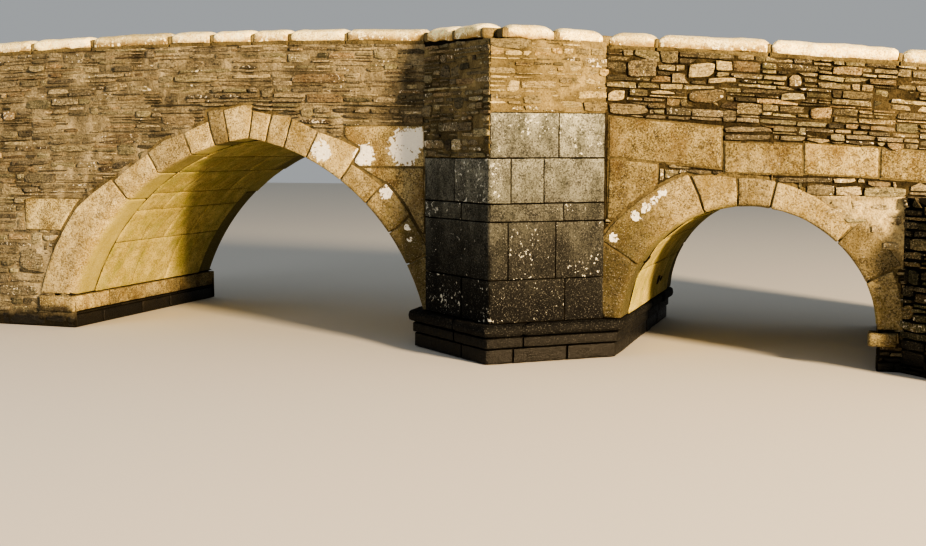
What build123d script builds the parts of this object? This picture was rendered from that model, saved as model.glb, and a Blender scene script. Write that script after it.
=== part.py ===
"""Two-arch stone bridge with cutwaters, pedestrian refuges and a coped parapet.

Millimetres. +X runs along the bridge, -Y is the upstream face, +Z is up.
Z = 0 is the water level, where the walls and the pier end.
"""

import math
import os

from build123d import *

# Overall sizes
bridge_length = 14356
bridge_width = 3400
wall_thickness = 420
mortar_joint = 10

# Vertical curve of the parapet and the roadway
crest_x = -3000
crest_height = 3670
vertical_curve_radius = 80000
coping_thickness = 190
parapet_height = 800
road_thickness = 130
road_bays = 12

# Arches: springing points, crowns below the crest of the coping, and how far each flank
# bows out from the chord between its springing and the crown
springing_height = 420
west_arch_west_springing = -4800
west_arch_east_springing = -90
west_arch_crown_x = -2300
west_arch_cover = 1285
west_arch_west_bow = 447
west_arch_east_bow = 439
east_arch_west_springing = 2183
east_arch_east_springing = 4833
east_arch_crown_x = 3508
east_arch_cover = 2006
east_arch_bow = 359
barrel_thickness = 340
barrel_course_width = 430
longest_facet = 320
shortest_edge = 1
ring_clearance = 60

# Ring stones, from the west springing to the east one: width along the soffit, then depths
# at even steps from the stone's west side to its east side
west_ring_stones = (
    (1475, 490, 500, 490, 355),
    (555, 320, 290),
    (520, 300, 320, 290),
    (345, 285, 310),
    (195, 430, 410),
    (270, 390, 405),
    (225, 340, 345),
    (245, 350, 385),
    (310, 375, 360),
    (500, 350, 450),
    (420, 250, 300),
    (435, 360, 360),
    (420, 340, 340),
    (558, 340, 340),
)
east_ring_stones = (
    (626, 190, 480),
    (924, 500, 470, 500),
    (350, 440, 310),
    (335, 310, 300),
    (765, 300, 270, 220),
    (500, 310, 400),
    (502, 300, 260),
)

# Pier, cutwaters and base courses
cutwater_west = -60
cutwater_east = 2000
cutwater_projection = 850
refuge_base_height = 80
cutwater_course_heights = (457, 613, 192, 476, 477)
plinth_height = 165
plinth_projection = 90
band_height = 118
band_projection = 105
roll_projection = 140
roll_rounding = 58

# Imposts on the abutments and the rough springer stone
west_ledge_height = 225
west_ledge_length = 500
east_ledge_height = 175
east_ledge_length = 207
ledge_projection = 12
ledge_overhang = 60
springer_projection = 115
springer_forward = 130
springer_length = 220
springer_rounding = 45

# Rubble buttress at the east end of the upstream face
buttress_start = 5060
buttress_width = 1400
buttress_projection = 700
buttress_wall_height = 1780
buttress_nose_height = 1480

# Large granite blocks in the walls, cut to fit the rings: west edge and length, then bottom
# and top at the west end and at the east end. They are measured from the west arch's west
# springing, from the cutwater's west corner at the height of the west arch's crown, and from
# the east arch's crown.
granite_depth = 300
west_haunch_blocks = (
    (-690, 890, 810, 1215, 810, 1215),
)
pier_haunch_blocks = (
    (-990, 980, -335, 130, -335, 130),
    (-810, 800, -1085, -345, -1085, -345),
)
east_arch_blocks = (
    (-1473, 540, -165, 492, -165, 435),
    (-1473, 1200, 502, 938, 376, 816),
    (-246, 785, 338, 661, 323, 639),
    (552, 730, 331, 656, 298, 598),
    (1295, 790, 291, 598, 236, 531),
)

# Refuges
refuge_wall_thickness = 330

# Coping stones: widths over the wall and joints along it
coping_overhang = 22
coping_side_height = 95
coping_joint = 14
west_coping_lengths = (860, 1006, 882, 1100, 572, 545, 480, 721, 974)
east_coping_lengths = (528, 1167, 1270, 1085, 1150)
refuge_coping_lengths = (700, 635)

# Worked out from the sizes above
half_length = bridge_length / 2
half_width = bridge_width / 2
inner_face = half_width - wall_thickness
far = 2 * bridge_length
west_arch_crown_height = crest_height - west_arch_cover
east_arch_crown_height = crest_height - east_arch_cover
cutwater_nose_x = (cutwater_west + cutwater_east) / 2
cutwater_run = math.hypot(cutwater_nose_x - cutwater_west, cutwater_projection)


def coping_top(x):
    """Height of the top of the coping on the vertical curve."""
    return crest_height - (x - crest_x) ** 2 / (2 * vertical_curve_radius)


def wall_top(x):
    """Height of the parapet under its coping."""
    return coping_top(x) - coping_thickness


def road_top(x):
    """Height of the carriageway."""
    return coping_top(x) - parapet_height


def stations_from(start, lengths, end):
    """Joints along a wall whose stones are stretched to fill it from start to end."""
    scale = (end - start) / sum(lengths)
    joints = [start]
    for length in lengths[:-1]:
        joints.append(joints[-1] + length * scale)
    return joints + [end]


cutwater_top = road_top(cutwater_east) - refuge_base_height
road_stations = stations_from(-half_length, [1] * road_bays, half_length)
west_joints = stations_from(-half_length, west_coping_lengths, cutwater_west)
east_joints = stations_from(cutwater_east, east_coping_lengths, half_length)
wall_stations = west_joints + [cutwater_nose_x] + east_joints


def chord_height(x, stations, height):
    """Height at x on the straight chords that join the stations."""
    for start, end in zip(stations, stations[1:]):
        if start <= x <= end:
            share = (x - start) / (end - start)
            return height(start) + share * (height(end) - height(start))
    raise ValueError("x lies beyond the bridge")


def grade_line(start, end, stations, height):
    """Points of a graded line from start to end, without stations too near the ends."""
    inner = [x for x in stations if start + shortest_edge < x < end - shortest_edge]
    return [(x, chord_height(x, stations, height)) for x in [start] + inner + [end]]


def road_line(start, end, drop=0):
    points = grade_line(start, end, road_stations, road_top)
    return [(x, z - drop) for x, z in points]


def wall_line(start, end):
    return grade_line(start, end, wall_stations, wall_top)


def depth_at(depths, share):
    """Depth at a share of a stone's width, between depths given at even steps."""
    place = share * (len(depths) - 1)
    step = min(int(place), len(depths) - 2)
    return depths[step] + (place - step) * (depths[step + 1] - depths[step])


class Arch:
    """Two arcs that meet at the crown, measured along the soffit from the west springing."""

    def __init__(self, west, crown, crown_height, east, west_bow, east_bow):
        self.springings = (west, east)
        self.crown = (crown, crown_height)
        self.flanks = []
        for springing, bow in ((west, west_bow), (east, east_bow)):
            chord_x = crown - springing
            chord_z = crown_height - springing_height
            chord = math.hypot(chord_x, chord_z)
            radius = (chord**2 / 4 + bow**2) / (2 * bow)
            drop = radius - bow
            side = 1 if chord_x > 0 else -1
            centre_x = (crown + springing) / 2 + side * drop * chord_z / chord
            centre_z = (crown_height + springing_height) / 2 - side * drop * chord_x / chord
            length = 2 * radius * math.asin(chord / 2 / radius)
            foot = math.atan2(springing_height - centre_z, springing - centre_x)
            self.flanks.append((centre_x, centre_z, radius, length, foot, side))
        self.length = self.flanks[0][3] + self.flanks[1][3]

    def place(self, along, depth=0.0):
        """Point at a distance along the soffit, and at a depth into the ring."""
        first, second = self.flanks
        flank, run = (first, along) if along <= first[3] else (second, self.length - along)
        centre_x, centre_z, radius, _, foot, side = flank
        angle = foot - side * run / radius
        reach = radius + depth
        return (centre_x + reach * math.cos(angle), centre_z + reach * math.sin(angle))

    def outline(self, start, end, near, depths, clearance=0):
        """Outline of a ring stone between two distances, with depths at even steps."""
        spans = len(depths) - 1
        steps = spans * math.ceil((end - start) / spans / longest_facet)
        shares = [i / steps for i in range(steps + 1)]
        marks = [start + (end - start) * share for share in shares]
        soffit = [self.place(mark, near) for mark in marks]
        back = [
            self.place(mark, depth_at(depths, share) + clearance)
            for mark, share in zip(marks, shares)
        ]
        return soffit + back[::-1]

    def joints(self, stones):
        """Joint positions along the soffit for a list of ring stones."""
        return stations_from(0, [width for width, *_ in stones], self.length)


west_arch = Arch(
    west_arch_west_springing,
    west_arch_crown_x,
    west_arch_crown_height,
    west_arch_east_springing,
    west_arch_west_bow,
    west_arch_east_bow,
)
east_arch = Arch(
    east_arch_west_springing,
    east_arch_crown_x,
    east_arch_crown_height,
    east_arch_east_springing,
    east_arch_bow,
    east_arch_bow,
)


def barrel_marks(arch):
    """Bed joints of the barrel, evenly spaced along the soffit."""
    courses = round(arch.length / barrel_course_width)
    return [arch.length * i / courses for i in range(courses + 1)]


def barrel_back(arch):
    """Upper outline of the barrel, on which the backing rests."""
    return [arch.place(mark, barrel_thickness) for mark in barrel_marks(arch)]


def face_through(points, plane):
    """Flat face with an outline through points on a plane."""
    with BuildSketch(plane) as outline:
        with BuildLine():
            Polyline(*points, close=True)
        make_face()
    return outline.sketch


def elevation(y):
    """Plane of the bridge's elevation at y, whose extrusions run towards +Y."""
    return Plane(origin=(0, y, 0), x_dir=(1, 0, 0), z_dir=(0, -1, 0))


def extrude_elevation(points, near, far_face, mode=Mode.ADD):
    """Solid with an outline in X and Z between two Y positions."""
    extrude(face_through(points, elevation(near)), amount=near - far_face, mode=mode)


def extrude_plan(points, bottom, top, mode=Mode.ADD):
    """Solid with an outline in X and Y between two heights."""
    extrude(face_through(points, Plane.XY.offset(bottom)), amount=top - bottom, mode=mode)


def finish(piece, name):
    piece.part.label = name
    export_step(piece.part, f"parts/{name}.step")


os.makedirs("parts", exist_ok=True)

# Abutments, cut back for their impost ledges
west_ledge_bottom = springing_height - west_ledge_height
west_ledge_start = west_arch_west_springing - west_ledge_length
with BuildPart() as west_abutment:
    extrude_elevation(
        [
            (-half_length, 0),
            (west_arch_west_springing, 0),
            (west_arch_west_springing, west_ledge_bottom),
            (west_ledge_start, west_ledge_bottom),
            (west_ledge_start, springing_height),
            (-half_length, springing_height),
        ],
        -half_width,
        half_width,
    )
finish(west_abutment, "west_abutment")

east_ledge_bottom = springing_height - east_ledge_height
east_ledge_end = east_arch_east_springing + east_ledge_length
with BuildPart() as east_abutment:
    extrude_elevation(
        [
            (half_length, 0),
            (east_arch_east_springing, 0),
            (east_arch_east_springing, east_ledge_bottom),
            (east_ledge_end, east_ledge_bottom),
            (east_ledge_end, springing_height),
            (half_length, springing_height),
        ],
        -half_width,
        half_width,
    )
finish(east_abutment, "east_abutment")

with BuildPart() as west_impost_ledge:
    ledge_end = west_arch_west_springing + ledge_projection
    with BuildSketch(Plane.XY.offset(west_ledge_bottom)):
        with Locations(((west_ledge_start + ledge_end) / 2, 0)):
            Rectangle(ledge_end - west_ledge_start, bridge_width + 2 * ledge_overhang)
    extrude(amount=west_ledge_height)
finish(west_impost_ledge, "west_impost_ledge")

with BuildPart() as east_impost_ledge:
    ledge_start = east_arch_east_springing - ledge_projection
    ledge_front = -half_width + springer_length
    with BuildSketch(Plane.XY.offset(east_ledge_bottom)):
        with Locations((ledge_start, ledge_front)):
            Rectangle(
                east_ledge_end - ledge_start,
                half_width - ledge_front,
                align=(Align.MIN, Align.MIN),
            )
    extrude(amount=east_ledge_height)
finish(east_impost_ledge, "east_impost_ledge")

with BuildPart() as springer_stone:
    stone_start = east_arch_east_springing - springer_projection
    with BuildSketch(Plane.XY.offset(east_ledge_bottom)):
        with Locations((stone_start, -half_width - springer_forward)):
            Rectangle(
                east_ledge_end - stone_start,
                springer_length + springer_forward,
                align=(Align.MIN, Align.MIN),
            )
    extrude(amount=east_ledge_height)
    front_edges = springer_stone.faces().sort_by(Axis.Y)[0].edges()
    fillet(front_edges, radius=springer_rounding)
finish(springer_stone, "springer_stone")


# Pier: plinth, band and roll follow the outline of the two cutwaters
def pier_outline(projection):
    """Outline of a base course that stands proud of the pier by a projection."""
    slope = cutwater_run / cutwater_projection
    spread = projection * slope
    nose = half_width + cutwater_projection
    nose += projection * cutwater_run / (cutwater_nose_x - cutwater_west)
    return [
        (cutwater_west - spread, -half_width),
        (cutwater_nose_x, -nose),
        (cutwater_east + spread, -half_width),
        (cutwater_east + spread, half_width),
        (cutwater_nose_x, nose),
        (cutwater_west - spread, half_width),
    ]


with BuildPart() as pier_plinth:
    extrude_plan(pier_outline(plinth_projection), 0, plinth_height)
finish(pier_plinth, "pier_plinth")

with BuildPart() as pier_base_band:
    extrude_plan(pier_outline(band_projection), plinth_height, plinth_height + band_height)
finish(pier_base_band, "pier_base_band")

with BuildPart() as pier_base_roll:
    extrude_plan(pier_outline(roll_projection), plinth_height + band_height, springing_height)
    rims = pier_base_roll.edges().filter_by(Plane.XY)
    fillet(rims, radius=roll_rounding)
finish(pier_base_roll, "pier_base_roll")


# Arch barrels: bed-jointed courses that run between the two rings
def build_barrel(arch):
    marks = barrel_marks(arch)
    with BuildPart() as barrel:
        for start, end in zip(marks, marks[1:]):
            lower = start if start == 0 else start + mortar_joint / 2
            upper = end if end == arch.length else end - mortar_joint / 2
            extrude_elevation(
                course_outline(arch, start, end, lower, upper),
                -inner_face,
                inner_face,
            )
    return barrel


def on_chord(first, last, share):
    return tuple(a + share * (b - a) for a, b in zip(first, last))


def course_outline(arch, start, end, lower, upper):
    """Outline of a barrel course whose back lies on the chord under the backing."""
    shares = [(mark - start) / (end - start) for mark in (lower, upper)]
    soffit = (arch.place(start), arch.place(end))
    back = (arch.place(start, barrel_thickness), arch.place(end, barrel_thickness))
    points = [on_chord(*soffit, share) for share in shares]
    points += [on_chord(*back, share) for share in reversed(shares)]
    return points


west_arch_barrel = build_barrel(west_arch)
finish(west_arch_barrel, "west_arch_barrel")
east_arch_barrel = build_barrel(east_arch)
finish(east_arch_barrel, "east_arch_barrel")


# Rings of wedge stones on both faces
def build_ring(arch, stones, outer, inner):
    joints = arch.joints(stones)
    with BuildPart() as ring:
        for (_, *depths), start, end in zip(stones, joints, joints[1:]):
            lower = start if start == 0 else start + mortar_joint / 2
            upper = end if end == joints[-1] else end - mortar_joint / 2
            outline = arch.outline(lower, upper, 0, depths)
            extrude_elevation(outline, outer, inner)
    return ring


def cut_arch(arch, stones, outer, inner):
    """Cuts an arch opening and the seat of its ring out of a wall."""
    opening = [arch.place(mark) for mark in barrel_marks(arch)]
    extrude_elevation(opening, outer, inner, mode=Mode.SUBTRACT)
    joints = arch.joints(stones)
    for (_, *depths), start, end in zip(stones, joints, joints[1:]):
        outline = arch.outline(start, end, -ring_clearance, depths, mortar_joint)
        extrude_elevation(outline, outer, inner, mode=Mode.SUBTRACT)


# Fill behind the walls: over the west haunch, between the arches and over the east haunch
def build_fill(start, end, underside):
    with BuildPart() as fill:
        top = road_line(start, end, road_thickness)
        extrude_elevation(underside + top[::-1], -inner_face, inner_face)
    return fill


west_back = barrel_back(west_arch)
east_back = barrel_back(east_arch)
west_crown = west_back[len(west_back) // 2]
east_crown = east_back[len(east_back) // 2]

west_underside = [(-half_length, springing_height), west_arch.place(0)]
west_underside += west_back[: len(west_back) // 2 + 1]
west_backing = build_fill(-half_length, west_crown[0], west_underside)
finish(west_backing, "west_backing")

pier_underside = west_back[len(west_back) // 2 :] + [west_arch.place(west_arch.length)]
pier_underside += [east_arch.place(0)] + east_back[: len(east_back) // 2 + 1]
pier_core = build_fill(west_crown[0], east_crown[0], pier_underside)
finish(pier_core, "pier_core")

east_underside = east_back[len(east_back) // 2 :] + [east_arch.place(east_arch.length)]
east_underside += [(half_length, springing_height)]
east_backing = build_fill(east_crown[0], half_length, east_underside)
finish(east_backing, "east_backing")

with BuildPart() as roadway:
    upper = road_line(-half_length, half_length)
    lower = road_line(-half_length, half_length, road_thickness)
    extrude_elevation(lower + upper[::-1], -inner_face, inner_face)
finish(roadway, "roadway")


# Walls of one face: outer and inner are the Y positions of its two sides
def build_spandrel(start, end, foot, arch, stones, outer, inner):
    with BuildPart() as wall:
        top = road_line(start, end)
        outline = [(start, foot), (end, foot)] + top[::-1]
        extrude_elevation(outline, outer, inner)
        cut_arch(arch, stones, outer, inner)
        for outline in granite_outlines(mortar_joint / 2):
            extrude_elevation(outline, outer, granite_back(outer), mode=Mode.SUBTRACT)
    return wall


def granite_outlines(gap):
    """Outlines of all the granite blocks of one face, with a gap round each."""
    outlines = []
    for anchor, blocks in (
        ((west_arch_west_springing, springing_height), west_haunch_blocks),
        ((cutwater_west, west_arch_crown_height), pier_haunch_blocks),
        (east_arch.crown, east_arch_blocks),
    ):
        anchor_x, anchor_z = anchor
        for west, length, west_bottom, west_top, east_bottom, east_top in blocks:
            start = anchor_x + west
            end = start + length
            outlines.append([
                (start - gap, anchor_z + west_bottom - gap),
                (end + gap, anchor_z + east_bottom - gap),
                (end + gap, anchor_z + east_top + gap),
                (start - gap, anchor_z + west_top + gap),
            ])
    return outlines


def granite_back(outer):
    """Y position of the back of the granite blocks of a face."""
    return outer - math.copysign(granite_depth, outer)


def build_granite_course(outer):
    back = granite_back(outer)
    with BuildPart() as course:
        for outline in granite_outlines(0):
            extrude_elevation(outline, outer, back)
        cut_arch(west_arch, west_ring_stones, outer, back)
        cut_arch(east_arch, east_ring_stones, outer, back)
    return course


def build_cutwater(side):
    """Coursed triangular cutwater against one face; side is -1 upstream and 1 downstream."""
    wall = side * half_width
    outline = [
        (cutwater_west, wall),
        (cutwater_nose_x, side * (half_width + cutwater_projection)),
        (cutwater_east, wall),
    ]
    bottoms = stations_from(springing_height, cutwater_course_heights, cutwater_top)
    with BuildPart() as cutwater:
        for bottom, top in zip(bottoms, bottoms[1:]):
            gap = 0 if top == bottoms[-1] else mortar_joint
            extrude_plan(outline, bottom, top - gap)
    return cutwater


def build_between(plan, lower, upper):
    """Solid over a plan between a lower and an upper graded line."""
    with BuildPart() as piece:
        extrude_plan(plan, 0, 2 * crest_height)
        extrude_elevation(lower + upper[::-1], -far, far, Mode.INTERSECT)
    return piece


def refuge_plans(side):
    """Plans of the refuge floor and its two walls."""
    nose = side * (half_width + cutwater_projection)
    wall = side * half_width
    inside = side * inner_face
    depth = refuge_wall_thickness * cutwater_run / (cutwater_nose_x - cutwater_west)
    inner_nose = side * (half_width + cutwater_projection - depth)
    reach = refuge_wall_thickness * cutwater_run / cutwater_projection
    slope = (cutwater_nose_x - cutwater_west) / cutwater_projection
    inset = reach - wall_thickness * slope
    floor = [(cutwater_west, wall), (cutwater_nose_x, nose), (cutwater_east, wall)]
    west_leg = [
        (cutwater_west, wall),
        (cutwater_nose_x, nose),
        (cutwater_nose_x, inner_nose),
        (cutwater_west + inset, inside),
        (cutwater_west, inside),
    ]
    east_leg = [
        (cutwater_east, wall),
        (cutwater_nose_x, nose),
        (cutwater_nose_x, inner_nose),
        (cutwater_east - inset, inside),
        (cutwater_east, inside),
    ]
    return floor, west_leg, east_leg


def coping_section(width, plane):
    """Cross-section of a coping stone: flat bed, upright sides and a rounded top."""
    half = width / 2 + coping_overhang
    west_shoulder = (-half, coping_side_height)
    east_shoulder = (half, coping_side_height)
    with BuildSketch(plane) as section:
        with BuildLine():
            Polyline(west_shoulder, (-half, 0), (half, 0), east_shoulder)
            ThreePointArc(east_shoulder, (0, coping_thickness), west_shoulder)
        make_face()
    return section.sketch


def coping_stone(start, end, width, before=coping_joint / 2, after=coping_joint / 2):
    """One stone on a wall top from start to end, held back from them before and after it."""
    first = Vector(*start)
    last = Vector(*end)
    along = (last - first).normalized()
    bed_normal = Vector(-along.Z / along.X, 0, 1).normalized()
    origin = first + along * before
    plane = Plane(origin=origin, x_dir=bed_normal.cross(along), z_dir=along)
    extrude(coping_section(width, plane), amount=(last - first).length - before - after)


def trim_along(west, east):
    """Keeps what lies between two places along the bridge."""
    block = [(west, -far), (east, -far), (east, far), (west, far)]
    extrude_plan(block, 0, far, Mode.INTERSECT)


def build_coping(joints, side):
    """Coping of one run, which overhangs the wall at the bridge's end too."""
    centre = side * (half_width - wall_thickness / 2)
    overrun = 2 * coping_overhang
    with BuildPart() as coping:
        for start, end in zip(joints, joints[1:]):
            coping_stone(
                (start, centre, wall_top(start)),
                (end, centre, wall_top(end)),
                wall_thickness,
                before=-overrun if start == -half_length else coping_joint / 2,
                after=-overrun if end == half_length else coping_joint / 2,
            )
        trim_along(-half_length - coping_overhang, half_length + coping_overhang)
    return coping


def build_refuge_leg(wall_end, side):
    """Coping stones on one leg of a refuge, mitred at the nose and at the parapet."""
    inward = Vector(0, -side * refuge_wall_thickness / 2, 0)
    inward *= cutwater_run / (cutwater_nose_x - cutwater_west)
    foot = Vector(wall_end, side * half_width, wall_top(wall_end)) + inward
    nose_y = side * (half_width + cutwater_projection)
    nose = Vector(cutwater_nose_x, nose_y, wall_top(cutwater_nose_x)) + inward
    joints = stations_from(0, refuge_coping_lengths, 1)
    margin = 0.3
    with BuildPart() as leg:
        for start, end in zip(joints, joints[1:]):
            first = start - margin if start == 0 else start
            last = end + margin if end == joints[-1] else end
            coping_stone(
                tuple(foot + (nose - foot) * first),
                tuple(foot + (nose - foot) * last),
                refuge_wall_thickness,
            )
        west, east = sorted((wall_end, cutwater_nose_x))
        trim_along(west + coping_joint / 2, east - coping_joint / 2)
    return leg


def build_face(name, side):
    """Every piece of one face of the bridge."""
    outer = side * half_width
    inner = side * inner_face

    finish(build_ring(west_arch, west_ring_stones, outer, inner), f"west_ring_{name}")
    finish(build_ring(east_arch, east_ring_stones, outer, inner), f"east_ring_{name}")

    west_spandrel = build_spandrel(
        -half_length,
        cutwater_nose_x,
        springing_height,
        west_arch,
        west_ring_stones,
        outer,
        inner,
    )
    finish(west_spandrel, f"west_spandrel_{name}")

    east_spandrel = build_spandrel(
        cutwater_nose_x,
        half_length,
        springing_height,
        east_arch,
        east_ring_stones,
        outer,
        inner,
    )
    finish(east_spandrel, f"east_spandrel_{name}")
    finish(build_granite_course(outer), f"granite_course_{name}")
    finish(build_cutwater(side), f"cutwater_{name}")

    floor, west_leg, east_leg = refuge_plans(side)
    level = [(cutwater_west, cutwater_top), (cutwater_east, cutwater_top)]
    refuge_floor = build_between(floor, level, road_line(cutwater_west, cutwater_east))
    finish(refuge_floor, f"refuge_floor_{name}")
    for leg, start, end, label in (
        (west_leg, cutwater_west, cutwater_nose_x, "west"),
        (east_leg, cutwater_nose_x, cutwater_east, "east"),
    ):
        wall = build_between(leg, road_line(start, end), wall_line(start, end))
        finish(wall, f"refuge_wall_{name}_{label}")

    for start, end, label in (
        (-half_length, cutwater_west, "west"),
        (cutwater_east, half_length, "east"),
    ):
        with BuildPart() as parapet:
            outline = road_line(start, end) + wall_line(start, end)[::-1]
            extrude_elevation(outline, outer, inner)
        finish(parapet, f"{label}_parapet_{name}")

    finish(build_coping(west_joints, side), f"west_coping_{name}")
    finish(build_coping(east_joints, side), f"east_coping_{name}")
    with BuildPart() as refuge_coping:
        add(build_refuge_leg(cutwater_west, side).part)
        add(build_refuge_leg(cutwater_east, side).part)
    finish(refuge_coping, f"refuge_coping_{name}")


build_face("front", -1)
build_face("back", 1)

# Rubble buttress against the upstream face, with a top that slopes to its nose
with BuildPart() as rubble_buttress:
    buttress_middle = buttress_start + buttress_width / 2
    buttress_nose_y = -half_width - buttress_projection
    buttress_plan = [
        (buttress_start, -half_width),
        (buttress_middle, buttress_nose_y),
        (buttress_start + buttress_width, -half_width),
    ]
    extrude_plan(buttress_plan, 0, buttress_wall_height)
    above_slope = [
        (-half_width, buttress_wall_height),
        (buttress_nose_y, buttress_nose_height),
        (buttress_nose_y, buttress_wall_height),
    ]
    slope = face_through(above_slope, Plane.YZ.offset(buttress_start))
    extrude(slope, amount=buttress_width, mode=Mode.SUBTRACT)
finish(rubble_buttress, "rubble_buttress")
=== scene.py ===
"""Looks of the stone arch bridge: slate rubble, dressed granite, lime mortar and weathering.

Metres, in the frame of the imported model: +X along the bridge, -Y upstream, Z = 0 the water.
"""

import math

import bpy
import numpy as np
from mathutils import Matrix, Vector


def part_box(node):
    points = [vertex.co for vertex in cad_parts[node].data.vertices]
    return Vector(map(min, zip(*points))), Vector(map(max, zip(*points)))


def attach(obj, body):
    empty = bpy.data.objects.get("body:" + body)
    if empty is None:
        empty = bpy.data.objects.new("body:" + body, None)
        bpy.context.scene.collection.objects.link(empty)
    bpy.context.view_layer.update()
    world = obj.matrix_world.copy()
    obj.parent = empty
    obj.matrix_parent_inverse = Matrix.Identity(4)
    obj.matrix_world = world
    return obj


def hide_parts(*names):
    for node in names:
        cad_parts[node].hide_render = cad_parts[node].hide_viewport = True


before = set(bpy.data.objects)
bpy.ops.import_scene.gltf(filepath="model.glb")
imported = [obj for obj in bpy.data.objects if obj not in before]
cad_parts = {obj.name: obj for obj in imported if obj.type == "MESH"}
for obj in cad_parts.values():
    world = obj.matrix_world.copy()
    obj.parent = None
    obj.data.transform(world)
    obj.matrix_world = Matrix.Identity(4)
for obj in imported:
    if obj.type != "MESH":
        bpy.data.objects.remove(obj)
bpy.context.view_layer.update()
rng = np.random.default_rng(18)

# Sizes of the bridge, as in the part's source
WALL_FACE = 1.700
INNER_FACE = 1.280
HALF_LENGTH = 7.178
CREST_X = -3.0
CREST_TOP = 3.670
CURVE_RADIUS = 80.0
COPING_HEIGHT = 0.190
COPING_SIDE = 0.095
COPING_OVERHANG = 0.022
COPING_JOINT = 0.014
PARAPET_HEIGHT = 0.800
SPRINGING = 0.420
CUTWATER_WEST = -0.060
CUTWATER_EAST = 2.000
CUTWATER_NOSE_X = 0.970
CUTWATER_PROJECTION = 0.850
REFUGE_BASE = 0.080
REFUGE_WALL = 0.330
PLINTH_TOP = 0.165
BAND_TOP = 0.283
PLINTH_PROUD = 0.090
BAND_PROUD = 0.105
ROLL_PROUD = 0.140
ROLL_ROUNDING = 0.058
BUTTRESS_START = 5.060
BUTTRESS_WIDTH = 1.400
BUTTRESS_PROJECTION = 0.700
BUTTRESS_WALL_TOP = 1.780
BUTTRESS_NOSE_TOP = 1.480
COURSE_HEIGHTS = (0.457, 0.613, 0.192, 0.476, 0.477)
WEST_COPING = (0.860, 1.006, 0.882, 1.100, 0.572, 0.545, 0.480, 0.721, 0.974)
EAST_COPING = (0.528, 1.167, 1.270, 1.085, 1.150)
# Ring stones: width along the soffit, then depths at even steps from west to east. The east
# arch's second and third are eased by a few centimetres where they meet.
WEST_RING = (
    (1.475, 0.490, 0.500, 0.490, 0.355), (0.555, 0.320, 0.290), (0.520, 0.300, 0.320, 0.290),
    (0.345, 0.285, 0.310), (0.195, 0.430, 0.410), (0.270, 0.390, 0.405), (0.225, 0.340, 0.345),
    (0.245, 0.350, 0.385), (0.310, 0.375, 0.360), (0.500, 0.350, 0.450), (0.420, 0.250, 0.300),
    (0.435, 0.360, 0.360), (0.420, 0.340, 0.340), (0.558, 0.340, 0.340),
)
EAST_RING = (
    (0.626, 0.190, 0.480), (0.924, 0.500, 0.470, 0.455), (0.350, 0.430, 0.310),
    (0.335, 0.310, 0.300), (0.765, 0.300, 0.270, 0.220), (0.500, 0.310, 0.400),
    (0.502, 0.300, 0.260),
)
GRANITE_DEPTH = 0.300


def coping_top(x):
    return CREST_TOP - (x - CREST_X) ** 2 / (2 * CURVE_RADIUS)


def wall_top(x):
    return coping_top(x) - COPING_HEIGHT


def road_top(x):
    return coping_top(x) - PARAPET_HEIGHT


CUTWATER_TOP = road_top(CUTWATER_EAST) - REFUGE_BASE


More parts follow.
